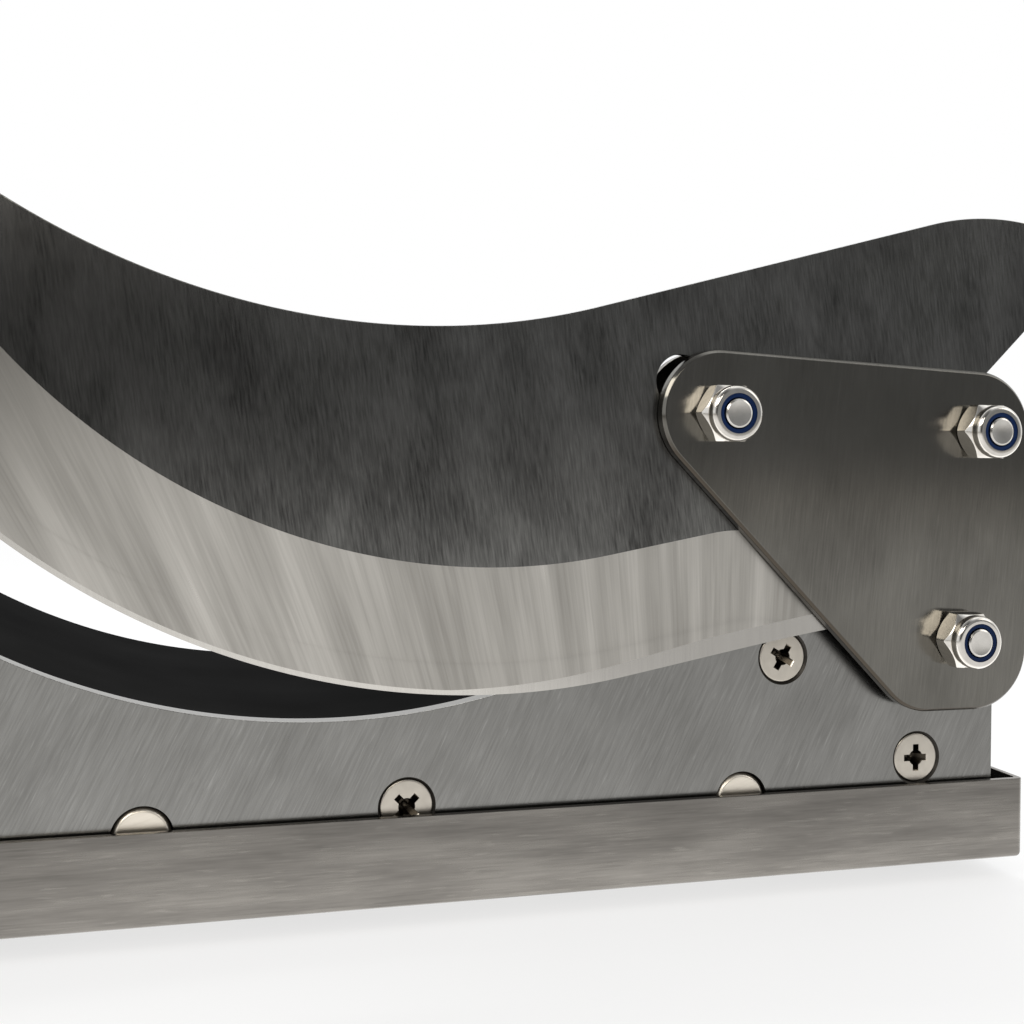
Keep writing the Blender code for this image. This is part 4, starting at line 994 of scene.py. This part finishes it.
blade_steel = steel("blade_steel", (0.0, 0.0, 0.0), (0.30, 0.296, 0.282), lay=radians(99), grain=2400, run=200,
                    strokes=0.8, scratches=0.1, blotches=0.8, clouds=(80.0, 45.0))
bevel_steel = steel("bevel_steel", (0.24, 0.228, 0.206), (0.59, 0.565, 0.521), run=34, roughness=0.3,
                    strokes=0.45, scratches=0.1, blotches=1.3, clouds=(200.0, 14.0), fan=(0.077, -0.215))
honed_steel = steel("honed_steel", (0.30, 0.287, 0.265), (0.52, 0.50, 0.465), lay=radians(97),
                    spread=0.4, strokes=0.3, scratches=0.1)
blade = piece("blade_body", blade_mesh(), blade_steel, bevel_steel, honed_steel)
slot_way = (left_clamp[0] / hypot(*left_clamp), left_clamp[1] / hypot(*left_clamp))
slot_ends = from_pivot([along(left_clamp, slot_way, SLOT_LENGTH), left_clamp])
slot_cut = slab(hull(slot_ends, BUSH_HOLE, 40), blade_front - 0.002, blade_back + 0.002)
rivet_places = []
for i in range(3):
    distance = FIRST_RIVET + (GRIP_LENGTH - 2 * FIRST_RIVET) / 2 * i
    upper, lower = grip_sides(distance / GRIP_LENGTH)
    rivet_places += from_pivot([grip_point(GRIP_START + distance, (upper + lower) / 2)])
cutters = [piece("slot_cut", slot_cut)]
cutters.append(drill("eye_cut", straight(BUSH_HOLE, blade_front, blade_back), bolt_places[2]))
cutters += [drill(f"tang_{i}", straight(RIVET_HOLE, blade_front, blade_back), p) for i, p in enumerate(rivet_places)]
carve(blade, cutters)
bm = bmesh.new()
bm.from_mesh(blade.data)
for e in bm.edges:
    looks = {f.material_index for f in e.link_faces}
    e.smooth = len(looks) < 2 and (len(e.link_faces) != 2 or e.calc_face_angle() < EDGE_ANGLE)
bm.to_mesh(blade.data)
bm.free()
lit_flat(blade)
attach(blade, "arm")
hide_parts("blade")


# Handle scales
# Two moulded halves of black plastic on the tang, with a rounded nose and a palm swell.
# Their outer edges are well rounded, and the mould left a fine grain on them.
SCALE_ROUND = 0.0035
NOSE = 0.004
nose = [grip_point(GRIP_START - NOSE * sin(pi * i / 24), GRIP_DEPTH * (1 + cos(pi * i / 24)) / 2)
        for i in range(1, 24)]
scale_outline = from_pivot(grip_outline(48) + nose)
handle_plastic = rubber("handle_plastic", (0.012, 0.012, 0.013), 0.42, 1500.0, 0.00004)


def shrunk(outline, inset, count=240):
    """The outline drawn in by an inset, cleared of the points that cross over, and spaced evenly again."""
    points = [Vector(p) for p in outline]
    if inset:
        moved = []
        for before, here, after in zip(points[-1:] + points[:-1], points, points[1:] + points[:1]):
            way = (after - before).normalized()
            spot = here + Vector((-way.y, way.x)) * inset * inwards
            if min((spot - p).length for p in points) > inset * 0.985:
                moved.append(spot)
        points = moved
    lengths = [(b - a).length for a, b in zip(points, points[1:] + points[:1])]
    apart, spaced, gone, i = sum(lengths) / count, [], 0.0, 0
    for k in range(count):
        while gone + lengths[i] < k * apart:
            gone += lengths[i]
            i += 1
        share = (k * apart - gone) / lengths[i]
        spaced.append(points[i].lerp(points[(i + 1) % len(points)], share))
    return spaced


area = sum(a[0] * b[1] - a[1] * b[0] for a, b in zip(scale_outline, scale_outline[1:] + scale_outline[:1]))
inwards = 1 if area > 0 else -1
scale_outline = [tuple(p) for p in shrunk(scale_outline, 0, 400)]
for name in ("front_scale", "rear_scale"):
    front, back = faces_of(name)
    outer, inner = (front, back) if name == "front_scale" else (back, front)
    bm = bmesh.new()
    rings = [[bm.verts.new((p.x, inner, p.y)) for p in shrunk(scale_outline, 0)]]
    for k in range(9):
        turn = pi / 2 * k / 8
        level = outer + copysign(SCALE_ROUND * (1 - sin(turn)), inner - outer)
        drawn = shrunk(scale_outline, SCALE_ROUND * (1 - cos(turn)))
        rings.append([bm.verts.new((p.x, level, p.y)) for p in drawn])
    for lower_ring, upper_ring in zip(rings, rings[1:]):
        for k in range(len(lower_ring)):
            bm.faces.new((lower_ring[k - 1], lower_ring[k], upper_ring[k], upper_ring[k - 1]))
    for end in (rings[0], rings[-1]):
        bm.faces.new(end)
    scale = piece(f"{name}_grip", bm, handle_plastic)
    holes = [drill(f"{name}_{i}", straight(RIVET_HOLE, front, back), p, 48) for i, p in enumerate(rivet_places)]
    carve(scale, holes)
    even(scale, radians(40))
    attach(scale, "arm")
    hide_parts(name)


# Handle rivets
# Stainless rivets through both scales and the tang, their domed heads buffed nearly flush.
rivet_low, rivet_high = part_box("handle_rivet_1")
rivet_radius = (rivet_high.x - rivet_low.x) / 2
DOME = 0.0008
dome = [(rivet_radius * sin(pi / 2 * i / 8), rivet_low.y + DOME * (1 - cos(pi / 2 * i / 8))) for i in range(9)]
dome += [(r, rivet_low.y + rivet_high.y - y) for r, y in reversed(dome)]
rivets = ring_set("rivets", dome, rivet_places, fastener_steel, 56)
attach(rivets, "arm")
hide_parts("handle_rivet_1", "handle_rivet_2", "handle_rivet_3")


# Studio
# A pale floor under the feet and a pale room, with soft lamps on both sides. The camera stands low
# and close, left of the middle, as the photograph was taken.
FLOOR_REACH = 3.0


def seen_by(nodes):
    """Whether the camera sees a spot itself, and whether it sees it reflected or through something."""
    path = node(nodes, "LightPath").outputs
    return path["Is Camera Ray"], maths(nodes, "MAXIMUM", path["Is Glossy Ray"], path["Is Transmission Ray"])


bm = bmesh.new()
bmesh.ops.create_grid(bm, x_segments=1, y_segments=1, size=FLOOR_REACH)
bmesh.ops.translate(bm, verts=bm.verts, vec=(0, 0, foot_base))
floor_look, nodes, spot = new_look("pale_floor")
paper = feed(nodes["Principled BSDF"], {"Base Color": (0.88, 0.88, 0.88, 1), "Roughness": 0.9})
direct, mirrored = seen_by(nodes)
away = node(nodes, "VectorMath", {0: spot, 1: (0.5, -0.1, 0.0)}, operation="DISTANCE").outputs["Value"]
parts = axes(nodes, spot)
# Painted light and shade in the floor's glow, seen only in reflections: brighter just in front of the tray, dimmer
# towards the right, and darker far off.
painted_far_shade = blend(nodes, span(nodes, parts["X"], 0.3, 1.2), (0.23, 0.22, 0.20), (0.62, 0.60, 0.56))
tone = blend(nodes, maths(nodes, "MULTIPLY", span(nodes, away, 0.6, 2.0), mirrored), (1, 1, 1), painted_far_shade)
painted_glow_near_tray = span(nodes, parts["Y"], -0.12, -0.065, 0.0, 0.8)
painted_shade_rightward = span(nodes, parts["X"], -0.05, 0.15, 0.05, -0.17)
level = maths(nodes, "MULTIPLY_ADD", maths(nodes, "ADD", painted_glow_near_tray, painted_shade_rightward), mirrored, 1.0)
share = maths(nodes, "MULTIPLY", direct, span(nodes, away, 0.6, 1.6, 0.7, 1.0))
share = maths(nodes, "MULTIPLY_ADD", mirrored, 0.9, share)
glow = node(nodes, "Emission", {"Color": tone, "Strength": level})
mixed = node(nodes, "MixShader", {0: share, 1: paper.outputs[0], 2: glow.outputs[0]})
feed(nodes["Material Output"], {"Surface": mixed.outputs[0]})
floor = piece("floor", bm, floor_look)

world = bpy.data.worlds.new("studio_room")
world.use_nodes = True
bpy.context.scene.world = world
nodes = world.node_tree.nodes
parts = axes(nodes, node(nodes, "TexCoord").outputs["Generated"])
rightward = span(nodes, parts["X"], 0.0, 0.28, 0.45, 1.9)
dim = maths(nodes, "MULTIPLY", rightward, span(nodes, parts["X"], 0.4, 0.6, 1.0, 0.75))
front = maths(nodes, "MULTIPLY", span(nodes, parts["Y"], -0.75, 0.1, 0.15, 1.0), dim)
room_level = maths(nodes, "MAXIMUM", front, span(nodes, parts["X"], -0.35, -0.85, 0.0, 0.9))
direct, mirrored = seen_by(nodes)
behind = maths(nodes, "MULTIPLY", mirrored, maths(nodes, "GREATER_THAN", parts["Y"], 0.0))
sky = node(nodes, "Background", {"Color": (0.96, 0.98, 1.0, 1), "Strength": room_level})
plain = node(nodes, "Background", {"Color": (1, 1, 1, 1), "Strength": 1.0})
white = maths(nodes, "MAXIMUM", behind, direct)
either = node(nodes, "MixShader", {0: white, 1: sky.outputs[0], 2: plain.outputs[0]})
feed(nodes["World Output"], {"Surface": either.outputs[0]})


def soft_lamp(name, place, target, width, height, power, tone):
    lamp = bpy.data.lights.new(name, "AREA")
    lamp.shape = "RECTANGLE"
    lamp.size = width
    lamp.size_y = height
    lamp.energy = power
    lamp.color = tone
    holder = set_out(name, lamp)
    holder.location = place
    holder.rotation_euler = (Vector(target) - Vector(place)).to_track_quat("-Z", "Y").to_euler()


soft_lamp("window", (-0.15, -0.84, 0.50), (0.06, -0.05, 0.10), 0.34, 0.26, 1.3, (1.0, 0.96, 0.89))
soft_lamp("key_lamp", (-0.75, -0.55, 0.75), (0.02, 0, 0.08), 0.5, 0.5, 4.0, (1.0, 0.95, 0.87))
soft_lamp("fill_lamp", (0.85, -0.50, 0.55), (0.05, 0, 0.08), 0.5, 0.4, 0.8, (1.0, 0.96, 0.9))
soft_lamp("top_lamp", (0.05, 0.45, 0.95), (0.02, 0, 0.05), 0.7, 0.4, 5.0, (1.0, 0.99, 0.97))

camera = bpy.data.cameras.new("camera")
holder = set_out("camera", camera)
YAW, PITCH_ANGLE, ROLL = radians(-15.423), radians(-0.425), radians(0.976)
forward = Vector((-sin(YAW) * cos(PITCH_ANGLE), cos(YAW) * cos(PITCH_ANGLE), -sin(PITCH_ANGLE)))
right = Vector((cos(YAW), sin(YAW), 0))
upward = right.cross(forward)
right, upward = right * cos(ROLL) + upward * sin(ROLL), upward * cos(ROLL) - right * sin(ROLL)
turned_to = Matrix((right, upward, -forward)).transposed().to_4x4()
holder.matrix_world = Matrix.Translation((-0.08184, -0.32852, 0.1043)) @ turned_to
camera.lens = 45.696
camera.sensor_width = 36
camera.shift_x = 0.0701
camera.shift_y = -0.0842
camera.clip_start = 0.01
bpy.context.scene.camera = holder
bpy.context.scene.view_settings.view_transform = "Standard"
